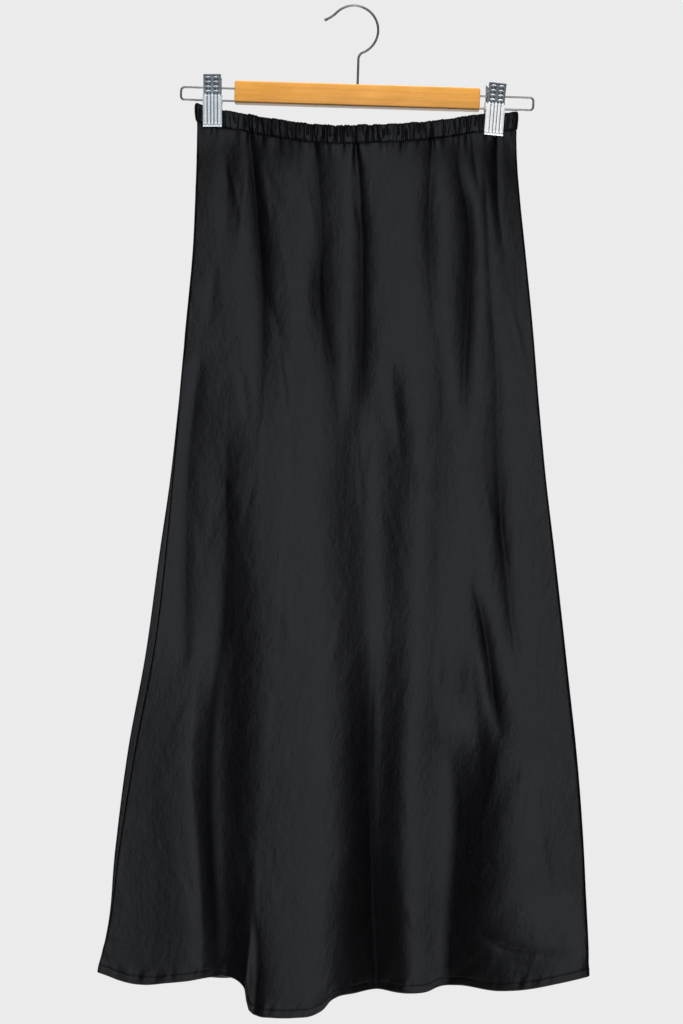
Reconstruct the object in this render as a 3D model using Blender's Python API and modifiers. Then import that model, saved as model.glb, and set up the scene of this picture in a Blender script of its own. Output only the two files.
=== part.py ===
"""Midi skirt on a clip hanger.

An A-line satin skirt with a gathered waist casing, held by two sprung clips on a trouser hanger:
a wooden bar with a wire loop at each end and a wire hook. Metres, +Z up, and the skirt's front
faces -Y. The origin is the inner top of the hook, where the hanger hangs.
"""

import math
from collections import namedtuple

import bmesh
import bpy
import numpy as np

GAP = 0.0003  # between pieces that meet
CUT_PAST = 0.002  # how far a cutter runs past the face it opens

# ---- the hanger, drawn level and then hung askew --------------------------------------------

TILT = math.radians(1.76)  # the right end hangs lower

HOOK_WIRE = 0.0024
HOOK_RADIUS = 0.0244  # of the wire's centre line
HOOK_TURN = math.radians(136)  # where the round of the hook gives way to its tip
TIP_RADIUS = 0.035  # the tip curves the other way
TIP_TURN = math.radians(24)
STEM_X = 0.0055
STEM_RADIUS = 0.007  # of the bend between the stem and the round
HOOK_SEAT = 0.012  # of the stem inside the bar

BAR_LENGTH = 0.245
BAR_HEIGHT = 0.0218
BAR_DEPTH = 0.014
BAR_TOP = -0.0786
BAR_ROUND = 0.0014

LOOP_WIRE = 0.0022
LOOP_SPACING = 0.0124  # between the two wires' centres
LOOP_MIDDLE = -0.0917
LOOP_REACH = 0.1762  # from the bar's middle to the end of a loop
LOOP_CORNER = 0.0034
LOOP_SEAT = 0.014  # of each wire inside the bar

CLIP_WIDTH = 0.0174
CLIP_SHEET = 0.0009
CLIP_LEFT_X = -0.1389
CLIP_RIGHT_X = 0.1428
CLIP_RIGHT_TILT = math.radians(2.2)  # more than the hanger's own tilt
CLIP_RIGHT_TURN = math.radians(8)  # about the vertical, its front towards the right
LUG_SHEET = 0.0010
LUG_INSET = 0.0006  # of a front plate's lugs from its edges
LUG_ABOVE = 0.0064  # of a lug over the wire's centre
LUG_BELOW = 0.0026
LUG_PAST = 0.0036  # how far a lug reaches past the wire
SLOT_HEIGHT = 0.0034
SLOT_DEPTH = 0.0058
SPRING_WIRE = 0.0011
SPRING_RADIUS = 0.0028
SPRING_TURNS = 6
SPRING_LENGTH = 0.0112
SPRING_STEPS = 10  # in a turn
SPRING_LEG = 0.0125
SPRING_SPREAD = 0.0013  # of a leg's end, out from the coil

# The outer face of a clip's plate in side view: out from the wire, and up from it.
PlatePoint = namedtuple("PlatePoint", "out up")
PLATE_AT_WIRE = 0.0056
PLATE = (
    PlatePoint(0.0092, 0.0242),
    PlatePoint(0.0064, 0.0105),
    PlatePoint(0.0058, 0.0030),
    PlatePoint(PLATE_AT_WIRE, -0.0030),
    PlatePoint(0.0048, -0.0120),
    PlatePoint(0.0044, -0.0190),
    PlatePoint(0.0044, -0.0250),
    PlatePoint(0.0052, -0.0275),
)

# ---- the skirt ------------------------------------------------------------------------------

CLOTH = 0.0010
CASING_THICK = 0.0024
CASING_HEIGHT = 0.0170
WAIST_LEFT = -0.1548  # the corners of the casing's top edge
WAIST_RIGHT = 0.1600
SWAY_REACH = 0.020  # how far from the turned clip the cloth follows its turn
SWAY_FROM = -0.040  # the turn shows at the waist from here, fully from SWAY_TO, and down to
SWAY_TO = 0.080
SWAY_DOWN = 0.35  # this share of the skirt's length

PANEL_ROWS = 20
FLAT_STEPS = 60  # columns between a panel's side folds
EDGE_SHARES = (0.0, 0.12, 0.50, 0.90, 1.30, 1.70, 2.10)  # columns round a side, in quarter turns
RING_STEPS = 900
LEAN_CLEAR = 0.016  # crests don't lean this close to a side
FRONT_CLEAR = -0.0030  # how near the hanging plane a trough may come, past it if below 0
BACK_CLEAR = 0.0056
TRIM_SHARE = 0.22  # of a wall's thickness, off each edge of a side seam, which meets aslant

# A row for each level, from the casing's seam to the hem. left and right are the outline, front
# and back how far the middle stands out, front_left, front_right and back_side how far the sides
# do, edge how wide the turn round a side is, crown how much the fullness keeps to the middle, and
# roll how far the left seam has rolled to the front.
Level = namedtuple("Level", "down left right front front_left front_right back back_side edge crown roll")
LEVELS = (
    Level(0.00, -0.1572, 0.1615, 0.0125, 0.0018, 0.0018, 0.0125, 0.0018, 0.0018, 4.0, 0.0000),
    Level(0.03, -0.1575, 0.1622, 0.0122, 0.0030, 0.0030, 0.0125, 0.0028, 0.0020, 1.6, 0.0000),
    Level(0.08, -0.1586, 0.1649, 0.0118, 0.0066, 0.0066, 0.0130, 0.0044, 0.0022, 1.0, 0.0000),
    Level(0.15, -0.1612, 0.1707, 0.0115, 0.0086, 0.0088, 0.0140, 0.0056, 0.0024, 1.0, 0.0000),
    Level(0.24, -0.1682, 0.1779, 0.0115, 0.0094, 0.0098, 0.0150, 0.0064, 0.0026, 1.0, 0.0040),
    Level(0.33, -0.1752, 0.1839, 0.0115, 0.0098, 0.0100, 0.0165, 0.0070, 0.0026, 1.0, 0.0098),
    Level(0.42, -0.1835, 0.1909, 0.0115, 0.0104, 0.0100, 0.0180, 0.0074, 0.0026, 1.0, 0.0122),
    Level(0.51, -0.1945, 0.1998, 0.0115, 0.0110, 0.0098, 0.0190, 0.0078, 0.0026, 1.0, 0.0165),
    Level(0.63, -0.2085, 0.2108, 0.0115, 0.0116, 0.0096, 0.0205, 0.0082, 0.0026, 1.0, 0.0188),
    Level(0.74, -0.2255, 0.2197, 0.0115, 0.0124, 0.0092, 0.0220, 0.0086, 0.0026, 1.0, 0.0194),
    Level(0.86, -0.2385, 0.2266, 0.0115, 0.0134, 0.0088, 0.0230, 0.0090, 0.0026, 1.0, 0.0172),
    Level(0.95, -0.2460, 0.2295, 0.0115, 0.0138, 0.0086, 0.0240, 0.0092, 0.0026, 1.0, 0.0148),
    Level(1.00, -0.2560, 0.2305, 0.0115, 0.0138, 0.0086, 0.0240, 0.0092, 0.0026, 1.0, 0.0138),
)

# Each large fold runs down through its rows: its bottom or crest across the panel, the reach of
# its two sides, both as shares of the skirt's width, and how far it stands out (a trough stands
# in). section is its form, 1 for a sharp V, 2 for a bell and more for a broad crest with steep
# sides, and lean how much its crest leans sideways.
Fold = namedtuple("Fold", "section lean rows")
Row = namedtuple("Row", "down across left right height")


def crease(section, *rows, lean=0.0):
    return Fold(section, lean, tuple(Row(*row) for row in rows))


FRONT_FOLDS = (
    crease(
        1.3, (0.00, 0.166, 0.014, 0.014, -0.0012), (0.045, 0.178, 0.017, 0.016, -0.0022),
        (0.115, 0.196, 0.033, 0.025, -0.0032), (0.21, 0.218, 0.050, 0.032, -0.0023),
        (0.30, 0.226, 0.055, 0.045, -0.0012), (0.37, 0.235, 0.060, 0.060, 0.0),
    ),
    crease(
        1.3, (0.00, 0.365, 0.014, 0.014, -0.0008), (0.02, 0.372, 0.028, 0.028, -0.0014),
        (0.09, 0.386, 0.036, 0.036, -0.0020), (0.185, 0.386, 0.033, 0.030, -0.0032),
        (0.28, 0.434, 0.044, 0.030, -0.0016), (0.34, 0.450, 0.040, 0.040, 0.0),
    ),
    crease(
        1.3, (0.00, 0.498, 0.012, 0.012, -0.0007), (0.02, 0.503, 0.012, 0.012, -0.0010),
        (0.09, 0.510, 0.026, 0.021, -0.0020), (0.185, 0.507, 0.028, 0.026, -0.0025),
        (0.28, 0.505, 0.044, 0.036, -0.0027), (0.36, 0.500, 0.050, 0.040, 0.0),
    ),
    crease(
        1.3, (0.00, 0.737, 0.014, 0.014, -0.0006), (0.03, 0.731, 0.022, 0.022, -0.0012),
        (0.10, 0.717, 0.032, 0.032, -0.0022), (0.195, 0.716, 0.030, 0.030, -0.0010),
        (0.25, 0.720, 0.030, 0.030, 0.0),
    ),
    crease(
        1.3, (0.00, 0.825, 0.014, 0.014, -0.0007), (0.03, 0.818, 0.022, 0.024, -0.0012),
        (0.10, 0.837, 0.034, 0.030, -0.0029), (0.195, 0.818, 0.038, 0.028, -0.0030),
        (0.29, 0.795, 0.030, 0.022, -0.0018), (0.36, 0.790, 0.030, 0.030, 0.0),
    ),
    crease(
        1.3, (0.00, 0.860, 0.010, 0.010, -0.0006), (0.03, 0.865, 0.013, 0.012, -0.0010),
        (0.08, 0.878, 0.014, 0.012, 0.0),
    ),
    crease(
        1.3, (0.04, 0.895, 0.010, 0.010, 0.0), (0.10, 0.893, 0.016, 0.015, -0.0008),
        (0.195, 0.886, 0.020, 0.020, -0.0009), (0.29, 0.888, 0.022, 0.022, -0.0012),
        (0.38, 0.877, 0.030, 0.036, -0.0018), (0.475, 0.872, 0.017, 0.020, -0.0022),
        (0.57, 0.878, 0.022, 0.030, -0.0012), (0.64, 0.875, 0.030, 0.030, 0.0),
    ),
    crease(
        1.3, (0.006, 0.938, 0.010, 0.010, 0.0), (0.03, 0.936, 0.012, 0.011, -0.0010),
        (0.10, 0.930, 0.016, 0.014, -0.0009), (0.17, 0.940, 0.014, 0.014, 0.0),
    ),
    crease(
        1.6, (0.015, 0.092, 0.025, 0.025, 0.0), (0.045, 0.095, 0.027, 0.027, -0.0011),
        (0.115, 0.101, 0.030, 0.035, -0.0008), (0.16, 0.106, 0.030, 0.030, 0.0),
    ),
    crease(
        1.6, (0.16, 0.070, 0.020, 0.020, 0.0), (0.21, 0.067, 0.018, 0.018, -0.0005),
        (0.25, 0.060, 0.018, 0.018, 0.0),
    ),
    crease(  # shallow trough near the left side
        1.4, (0.26, 0.052, 0.017, 0.017, 0.0), (0.30, 0.045, 0.017, 0.022, -0.0009),
        (0.395, 0.041, 0.026, 0.030, -0.0012), (0.49, 0.060, 0.040, 0.030, -0.0014),
        (0.58, 0.082, 0.050, 0.021, -0.0013), (0.66, 0.100, 0.050, 0.020, 0.0),
    ),
    crease(  # long trough on the left
        1.3, (0.34, 0.140, 0.050, 0.030, 0.0), (0.395, 0.146, 0.050, 0.024, -0.0010),
        (0.49, 0.168, 0.056, 0.040, -0.0015), (0.58, 0.178, 0.056, 0.080, -0.0022),
        (0.675, 0.176, 0.046, 0.120, -0.0030), (0.77, 0.190, 0.042, 0.120, -0.0042),
        (0.86, 0.210, 0.042, 0.110, -0.0050), (0.93, 0.226, 0.042, 0.090, -0.0054),
        (1.00, 0.245, 0.050, 0.090, -0.0046),
    ),
    crease(  # low ridge left of it
        1.5, (0.58, 0.112, 0.060, 0.040, 0.0), (0.675, 0.130, 0.080, 0.050, 0.0030),
        (0.77, 0.149, 0.084, 0.050, 0.0044), (0.86, 0.180, 0.092, 0.050, 0.0058),
        (0.93, 0.193, 0.092, 0.050, 0.0060), (1.00, 0.214, 0.088, 0.050, 0.0052),
    ),
    crease(  # broad ridge left of the middle
        3.8, (0.18, 0.290, 0.160, 0.160, 0.0), (0.28, 0.292, 0.165, 0.170, 0.0012),
        (0.37, 0.301, 0.176, 0.162, 0.0026), (0.46, 0.328, 0.170, 0.149, 0.0038),
        (0.55, 0.342, 0.151, 0.148, 0.0048), (0.64, 0.348, 0.134, 0.152, 0.0056),
        (0.73, 0.360, 0.128, 0.153, 0.0066), (0.82, 0.371, 0.130, 0.152, 0.0072),
        (0.89, 0.375, 0.124, 0.146, 0.0084), (1.00, 0.389, 0.116, 0.150, 0.0100), lean=-0.3,
    ),
    crease(  # long trough in the middle
        2.0, (0.25, 0.535, 0.080, 0.050, 0.0), (0.28, 0.535, 0.085, 0.055, -0.0010),
        (0.37, 0.545, 0.105, 0.070, -0.0048), (0.465, 0.546, 0.090, 0.062, -0.0042),
        (0.56, 0.548, 0.066, 0.058, -0.0028), (0.655, 0.540, 0.050, 0.060, -0.0024),
        (0.75, 0.542, 0.048, 0.058, -0.0012), (0.84, 0.549, 0.050, 0.060, 0.0),
    ),
    crease(  # its sharper foot
        1.3, (0.58, 0.538, 0.026, 0.040, 0.0), (0.655, 0.538, 0.026, 0.042, -0.0020),
        (0.75, 0.542, 0.032, 0.043, -0.0048), (0.845, 0.549, 0.034, 0.047, -0.0068),
        (0.915, 0.554, 0.044, 0.053, -0.0088), (1.00, 0.572, 0.050, 0.056, -0.0098),
    ),
    crease(  # the narrow ridge between the two
        1.6, (0.50, 0.552, 0.016, 0.018, 0.0), (0.60, 0.546, 0.014, 0.018, 0.0004),
        (0.675, 0.545, 0.012, 0.018, 0.0007), (0.77, 0.546, 0.012, 0.018, 0.0008),
        (0.88, 0.552, 0.012, 0.018, 0.0),
    ),
    crease(  # the small ridge beside it
        2.0, (0.42, 0.660, 0.050, 0.050, 0.0), (0.475, 0.650, 0.046, 0.060, 0.0006),
        (0.57, 0.640, 0.046, 0.060, 0.0012), (0.66, 0.632, 0.048, 0.060, 0.0022),
        (0.755, 0.626, 0.050, 0.064, 0.0029), (0.85, 0.624, 0.052, 0.066, 0.0034),
        (0.92, 0.624, 0.052, 0.058, 0.0038), (1.00, 0.630, 0.050, 0.050, 0.0040),
    ),
    crease(
        1.6, (0.25, 0.594, 0.030, 0.030, 0.0), (0.28, 0.594, 0.030, 0.030, -0.0015),
        (0.37, 0.615, 0.028, 0.026, -0.0007), (0.44, 0.605, 0.030, 0.030, 0.0),
    ),
    crease(  # trough right of the middle
        1.5, (0.18, 0.720, 0.030, 0.030, 0.0), (0.29, 0.736, 0.036, 0.036, -0.0014),
        (0.38, 0.728, 0.034, 0.034, -0.0015), (0.475, 0.713, 0.033, 0.033, -0.0011),
        (0.57, 0.700, 0.030, 0.030, -0.0004), (0.665, 0.684, 0.030, 0.030, -0.0004),
        (0.755, 0.730, 0.056, 0.060, -0.0022), (0.85, 0.728, 0.060, 0.056, -0.0036),
        (0.92, 0.714, 0.056, 0.050, -0.0046), (1.00, 0.716, 0.052, 0.060, -0.0047),
    ),
    crease(
        1.3, (0.52, 0.790, 0.010, 0.020, 0.0), (0.57, 0.807, 0.012, 0.018, -0.0020),
        (0.615, 0.817, 0.013, 0.017, -0.0022), (0.665, 0.824, 0.018, 0.018, -0.0026),
        (0.72, 0.835, 0.020, 0.030, 0.0),
    ),
    crease(
        1.6, (0.60, 0.765, 0.020, 0.020, 0.0), (0.665, 0.778, 0.034, 0.026, -0.0020),
        (0.73, 0.785, 0.040, 0.030, -0.0010), (0.80, 0.785, 0.040, 0.040, 0.0),
    ),
    crease(  # broad ridge on the right
        3.0, (0.58, 0.920, 0.110, 0.300, 0.0), (0.665, 0.920, 0.134, 0.300, 0.0040),
        (0.755, 0.926, 0.166, 0.300, 0.0150), (0.85, 0.936, 0.196, 0.300, 0.0185),
        (0.92, 0.955, 0.222, 0.300, 0.0195), (0.965, 0.990, 0.252, 0.300, 0.0215),
        (1.00, 1.000, 0.262, 0.300, 0.0220),
    ),
    crease(  # its lift at the corner
        1.3, (0.90, 0.980, 0.110, 0.300, 0.0), (0.965, 0.985, 0.124, 0.300, 0.0060),
        (1.00, 0.985, 0.130, 0.300, 0.0066),
    ),
    crease(  # drag lines above the hem on the right
        1.5, (0.928, 0.745, 0.020, 0.020, 0.0), (0.940, 0.790, 0.026, 0.026, -0.0006),
        (0.955, 0.850, 0.030, 0.034, -0.0009), (0.965, 0.915, 0.034, 0.040, -0.0006),
        (0.972, 0.955, 0.040, 0.040, 0.0),
    ),
    crease(
        1.5, (0.945, 0.800, 0.020, 0.020, 0.0), (0.965, 0.850, 0.034, 0.030, -0.0008),
        (0.985, 0.905, 0.040, 0.040, 0.0),
    ),
)
BACK_FOLDS = (
    crease(
        1.3, (0.00, 0.205, 0.020, 0.024, -0.0020), (0.12, 0.190, 0.040, 0.034, -0.0043),
        (0.36, 0.180, 0.050, 0.050, 0.0),
    ),
    crease(
        1.3, (0.00, 0.430, 0.018, 0.020, -0.0020), (0.10, 0.436, 0.032, 0.030, -0.0037),
        (0.30, 0.440, 0.045, 0.040, 0.0),
    ),
    crease(
        1.3, (0.00, 0.650, 0.020, 0.020, -0.0020), (0.14, 0.668, 0.040, 0.034, -0.0043),
        (0.42, 0.690, 0.050, 0.050, 0.0),
    ),
    crease(
        1.3, (0.00, 0.320, 0.012, 0.012, -0.0014), (0.08, 0.326, 0.016, 0.018, -0.0020),
        (0.22, 0.330, 0.020, 0.020, 0.0),
    ),
    crease(
        1.3, (0.00, 0.820, 0.014, 0.014, -0.0014), (0.12, 0.838, 0.022, 0.018, -0.0019),
        (0.28, 0.850, 0.020, 0.020, 0.0),
    ),
    crease(
        1.5, (0.30, 0.160, 0.050, 0.050, 0.0), (0.50, 0.150, 0.060, 0.080, -0.0040),
        (0.75, 0.140, 0.060, 0.090, -0.0075), (1.00, 0.135, 0.060, 0.090, -0.0105),
    ),
    crease(
        3.0, (0.34, 0.280, 0.090, 0.090, 0.0), (0.55, 0.262, 0.100, 0.100, 0.0034),
        (0.80, 0.250, 0.090, 0.100, 0.0064), (1.00, 0.240, 0.080, 0.090, 0.0090), lean=0.2,
    ),
    crease(
        1.6, (0.30, 0.410, 0.060, 0.060, 0.0), (0.50, 0.405, 0.070, 0.070, -0.0046),
        (0.75, 0.390, 0.056, 0.066, -0.0080), (1.00, 0.370, 0.052, 0.062, -0.0110),
    ),
    crease(
        3.0, (0.34, 0.530, 0.090, 0.090, 0.0), (0.55, 0.532, 0.110, 0.100, 0.0040),
        (0.80, 0.534, 0.105, 0.100, 0.0080), (1.00, 0.535, 0.095, 0.090, 0.0110), lean=0.2,
    ),
    crease(
        1.5, (0.30, 0.690, 0.050, 0.060, 0.0), (0.50, 0.690, 0.064, 0.070, -0.0044),
        (0.75, 0.700, 0.060, 0.064, -0.0076), (1.00, 0.720, 0.058, 0.060, -0.0105),
    ),
    crease(
        2.4, (0.45, 0.800, 0.080, 0.080, 0.0), (0.75, 0.826, 0.090, 0.080, 0.0052),
        (1.00, 0.845, 0.090, 0.080, 0.0080), lean=-0.1,
    ),
)

# How low an edge hangs below the origin: the casing's top, slack between the clips, and the hem.
EdgePoint = namedtuple("EdgePoint", "across drop")
WAIST_EDGE = (
    EdgePoint(0.000, 0.0974),
    EdgePoint(0.068, 0.1029),
    EdgePoint(0.135, 0.1065),
    EdgePoint(0.235, 0.1132),
    EdgePoint(0.347, 0.1187),
    EdgePoint(0.450, 0.1216),
    EdgePoint(0.520, 0.1212),
    EdgePoint(0.638, 0.1193),
    EdgePoint(0.776, 0.1144),
    EdgePoint(0.870, 0.1091),
    EdgePoint(0.925, 0.1066),
    EdgePoint(0.970, 0.1064),
    EdgePoint(1.000, 0.1055),
)
FRONT_HEM = (
    EdgePoint(0.000, 0.9622),
    EdgePoint(0.020, 0.9656),
    EdgePoint(0.045, 0.9704),
    EdgePoint(0.070, 0.9736),
    EdgePoint(0.100, 0.9749),
    EdgePoint(0.140, 0.9731),
    EdgePoint(0.180, 0.9712),
    EdgePoint(0.230, 0.9676),
    EdgePoint(0.265, 0.9669),
    EdgePoint(0.288, 0.9698),
    EdgePoint(0.304, 0.9752),
    EdgePoint(0.314, 0.9830),
    EdgePoint(0.324, 0.9980),
    EdgePoint(0.334, 1.0040),
    EdgePoint(0.360, 1.0057),
    EdgePoint(0.410, 1.0057),
    EdgePoint(0.450, 1.0028),
    EdgePoint(0.469, 0.9972),
    EdgePoint(0.482, 0.9897),
    EdgePoint(0.492, 0.9867),
    EdgePoint(0.530, 0.9836),
    EdgePoint(0.572, 0.9812),
    EdgePoint(0.613, 0.9833),
    EdgePoint(0.643, 0.9835),
    EdgePoint(0.674, 0.9818),
    EdgePoint(0.698, 0.9768),
    EdgePoint(0.735, 0.9746),
    EdgePoint(0.817, 0.9774),
    EdgePoint(0.860, 0.9755),
    EdgePoint(0.940, 0.9674),
    EdgePoint(1.000, 0.9602),
)
BACK_HEM = (
    EdgePoint(0.00, 0.9622),
    EdgePoint(0.13, 0.9677),
    EdgePoint(0.25, 0.9777),
    EdgePoint(0.38, 0.9707),
    EdgePoint(0.54, 0.9817),
    EdgePoint(0.71, 0.9717),
    EdgePoint(0.85, 0.9757),
    EdgePoint(1.00, 0.9602),
)


def clear_scene():
    for old in list(bpy.data.objects):
        bpy.data.objects.remove(old, do_unlink=True)


def new_collection(name):
    collection = bpy.data.collections.new(name)
    bpy.context.scene.collection.children.link(collection)
    return collection


clear_scene()
PARTS = new_collection("midi_skirt_on_clip_hanger")
CUTTERS = new_collection("cutters")
CUTTERS.hide_render = True


# ---- helpers --------------------------------------------------------------------------------


def material(name, colour, roughness, metallic=0.0):
    made = bpy.data.materials.new(name)
    made.use_nodes = True
    shader = made.node_tree.nodes["Principled BSDF"]
    shader.inputs["Base Color"].default_value = (*colour, 1.0)
    shader.inputs["Roughness"].default_value = roughness
    shader.inputs["Metallic"].default_value = metallic
    return made


SATIN = material("black_satin", (0.028, 0.029, 0.032), 0.45)
CASING = material("black_satin_casing", (0.025, 0.026, 0.029), 0.50)
WOOD = material("honey_varnished_wood", (0.80, 0.39, 0.08), 0.40)
STEEL_WIRE = material("bright_steel_wire", (0.55, 0.57, 0.58), 0.22, 1.0)
CLIP_PLATE = material("nickel_clip_plate", (0.70, 0.72, 0.74), 0.25, 1.0)
SPRING_STEEL = material("spring_steel", (0.50, 0.51, 0.52), 0.30, 1.0)


def place(name, mesh, finish, collection=PARTS, parent=None):
    made = bpy.data.objects.new(name, mesh)
    collection.objects.link(made)
    if finish:
        mesh.materials.append(finish)
    made.parent = parent
    return made


def empty(name, location=(0, 0, 0), rotation=(0, 0, 0), parent=None):
    made = bpy.data.objects.new(name, None)
    PARTS.objects.link(made)
    made.location = location
    made.rotation_euler = rotation
    made.parent = parent
    return made


def ease(share):
    """0 to 1 with a soft start and end."""
    share = np.clip(share, 0.0, 1.0)
    return share * share * (3.0 - 2.0 * share)


def flowing(rows, column, at):
    """A column's value part-way down a table, on a smooth curve through the table's rows."""
    places = np.array([row[0] for row in rows])
    values = np.array([getattr(row, column) for row in rows])
    slopes = np.gradient(values, places)
    at = np.clip(at, places[0], places[-1])
    last = np.clip(np.searchsorted(places, at, side="right"), 1, len(places) - 1)
    first = last - 1
    span = places[last] - places[first]
    t = (at - places[first]) / span
    start = (1 + 2 * t) * (1 - t) ** 2 * values[first] + t * (1 - t) ** 2 * span * slopes[first]
    return start + t * t * (3 - 2 * t) * values[last] + t * t * (t - 1) * span * slopes[last]


def box(name, low, high, collection=PARTS, finish=None, parent=None):
    shape = bmesh.new()
    bmesh.ops.create_cube(shape, size=1.0)
    size = [b - a for a, b in zip(low, high)]
    middle = [(a + b) / 2 for a, b in zip(low, high)]
    bmesh.ops.scale(shape, vec=size, verts=shape.verts)
    bmesh.ops.translate(shape, vec=middle, verts=shape.verts)
    mesh = bpy.data.meshes.new(name)
    shape.to_mesh(mesh)
    shape.free()
    return place(name, mesh, finish, collection, parent)


def rod(name, start, axis, radius, length, parent, sides=16):
    """A cylinder that cuts, from start along +X or down -Z."""
    shape = bmesh.new()
    bmesh.ops.create_cone(
        shape, cap_ends=True, segments=sides, radius1=radius, radius2=radius, depth=length
    )
    mesh = bpy.data.meshes.new(name)
    shape.to_mesh(mesh)
    shape.free()
    made = place(name, mesh, None, CUTTERS, parent)
    if axis == "X":
        made.rotation_euler = (0, math.pi / 2, 0)
        made.location = (start[0] + length / 2, start[1], start[2])
    else:
        made.location = (start[0], start[1], start[2] - length / 2)
    return made


def as_cutter(made):
    made.hide_render = True
    made.display_type = "WIRE"
    return made


def combine(target, other, operation):
    modifier = target.modifiers.new(other.name, "BOOLEAN")
    modifier.operation = operation
    modifier.object = as_cutter(other)


def wire(name, points, diameter, finish, parent):
    """A round wire along the points, with closed ends."""
    curve = bpy.data.curves.new(name, "CURVE")
    curve.dimensions = "3D"
    curve.bevel_depth = diameter / 2
    curve.bevel_resolution = 2
    curve.use_fill_caps = True
    spline = curve.splines.new("POLY")
    spline.points.add(len(points) - 1)
    for point, position in zip(spline.points, points):
        point.co = (*position, 1.0)
    curve.materials.append(finish)
    made = bpy.data.objects.new(name, curve)
    PARTS.objects.link(made)
    made.parent = parent
    return made


def arc(centre, radius, start, stop, steps):
    """Points on an arc in the XZ plane, both ends included."""
    return [
        (centre[0] + radius * math.cos(angle), 0.0, centre[1] + radius * math.sin(angle))
        for angle in np.linspace(start, stop, steps + 1)
    ]


# ---- hanger ---------------------------------------------------------------------------------

HANGER = empty("hanger_tilt", rotation=(0, TILT, 0))


def hook_points():
    """The stem, the bend to the round, the round over the origin, and the tip curving away."""
    round_z = HOOK_WIRE / 2 - HOOK_RADIUS
    bend_x = STEM_X + STEM_RADIUS
    reach = HOOK_RADIUS + STEM_RADIUS
    bend_z = round_z - math.sqrt(reach**2 - bend_x**2)
    join = math.atan2(bend_z - round_z, bend_x)
    tip_reach = HOOK_RADIUS + TIP_RADIUS
    tip_middle = (tip_reach * math.cos(HOOK_TURN), round_z + tip_reach * math.sin(HOOK_TURN))
    tip_from = HOOK_TURN - math.pi
    points = [(STEM_X, 0.0, BAR_TOP - HOOK_SEAT)]
    points += arc((bend_x, bend_z), STEM_RADIUS, math.pi, join + math.pi, 5)
    points += arc((0.0, round_z), HOOK_RADIUS, join, HOOK_TURN, 26)[1:]
    points += arc(tip_middle, TIP_RADIUS, tip_from, tip_from - TIP_TURN, 5)[1:]
    return points


def loop_points(side):
    """One wire out of the bar's end, round the loop's two corners and back into the bar."""
    seat = BAR_LENGTH / 2 - LOOP_SEAT
    corner_x = LOOP_REACH - LOOP_CORNER
    half = LOOP_SPACING / 2
    corner_up = half - LOOP_CORNER
    top = LOOP_MIDDLE + corner_up
    low = LOOP_MIDDLE - corner_up
    quarter = math.pi / 2
    points = [(seat, 0.0, LOOP_MIDDLE + half)]
    points += arc((corner_x, top), LOOP_CORNER, quarter, 0.0, 4)
    points += arc((corner_x, low), LOOP_CORNER, 0.0, -quarter, 4)
    points += [(seat, 0.0, LOOP_MIDDLE - half)]
    return [(STEM_X + side * x, y, z) for x, y, z in points]


def build_hanger():
    bar = box(
        "hanger_bar",
        (STEM_X - BAR_LENGTH / 2, -BAR_DEPTH / 2, BAR_TOP - BAR_HEIGHT),
        (STEM_X + BAR_LENGTH / 2, BAR_DEPTH / 2, BAR_TOP),
        finish=WOOD,
        parent=HANGER,
    )
    rounded = bar.modifiers.new("rounded", "BEVEL")
    rounded.width = BAR_ROUND
    rounded.segments = 2
    bore = rod(
        "bore_hook",
        (STEM_X, 0.0, BAR_TOP + CUT_PAST),
        "Z",
        HOOK_WIRE / 2 + GAP,
        HOOK_SEAT + GAP + CUT_PAST,
        HANGER,
    )
    combine(bar, bore, "DIFFERENCE")
    deep = LOOP_SEAT + GAP
    for side, word in ((-1, "left"), (1, "right")):
        for up, which in ((1, "top"), (-1, "low")):
            start = STEM_X + side * BAR_LENGTH / 2 - (deep if side > 0 else CUT_PAST)
            height = LOOP_MIDDLE + up * LOOP_SPACING / 2
            bore = rod(
                f"bore_{word}_{which}",
                (start, 0.0, height),
                "X",
                LOOP_WIRE / 2 + GAP,
                deep + CUT_PAST,
                HANGER,
            )
            combine(bar, bore, "DIFFERENCE")
        wire(f"loop_{word}", loop_points(side), LOOP_WIRE, STEEL_WIRE, HANGER)
    wire("hanger_hook", hook_points(), HOOK_WIRE, STEEL_WIRE, HANGER)


def plate(name, facing, lug_inner, lug_outer, parent):
    """One plate of a clip: a bent sheet with two lugs that the wire passes through."""
    half = CLIP_WIDTH / 2
    shape = bmesh.new()
    pairs = [
        [shape.verts.new((side * half, facing * point.out, point.up)) for side in (-1, 1)]
        for point in PLATE
    ]
    for above, below in zip(pairs, pairs[1:]):
        corners = (above[0], below[0], below[1], above[1])
        shape.faces.new(corners if facing < 0 else corners[::-1])
    mesh = bpy.data.meshes.new(name)
    shape.to_mesh(mesh)
    shape.free()
    made = place(name, mesh, CLIP_PLATE, parent=parent)
    sheet = made.modifiers.new("sheet", "SOLIDIFY")
    sheet.thickness = CLIP_SHEET
    sheet.offset = -1
    sheet.use_even_offset = True
    seat = sorted((facing * (PLATE_AT_WIRE - CLIP_SHEET / 2), -facing * LUG_PAST))
    for side, word in ((-1, "a"), (1, "b")):
        across = sorted((side * lug_inner, side * lug_outer))
        lug = box(
            f"{name}_lug_{word}",
            (across[0], seat[0], -LUG_BELOW),
            (across[1], seat[1], LUG_ABOVE),
            CUTTERS,
            parent=parent,
        )
        combine(made, lug, "UNION")
    slot = box(
        f"{name}_slot",
        (-2 * half, -SLOT_DEPTH / 2, -SLOT_HEIGHT / 2),
        (2 * half, SLOT_DEPTH / 2, SLOT_HEIGHT / 2),
        CUTTERS,
        parent=parent,
    )
    combine(made, slot, "DIFFERENCE")
    return made


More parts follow.
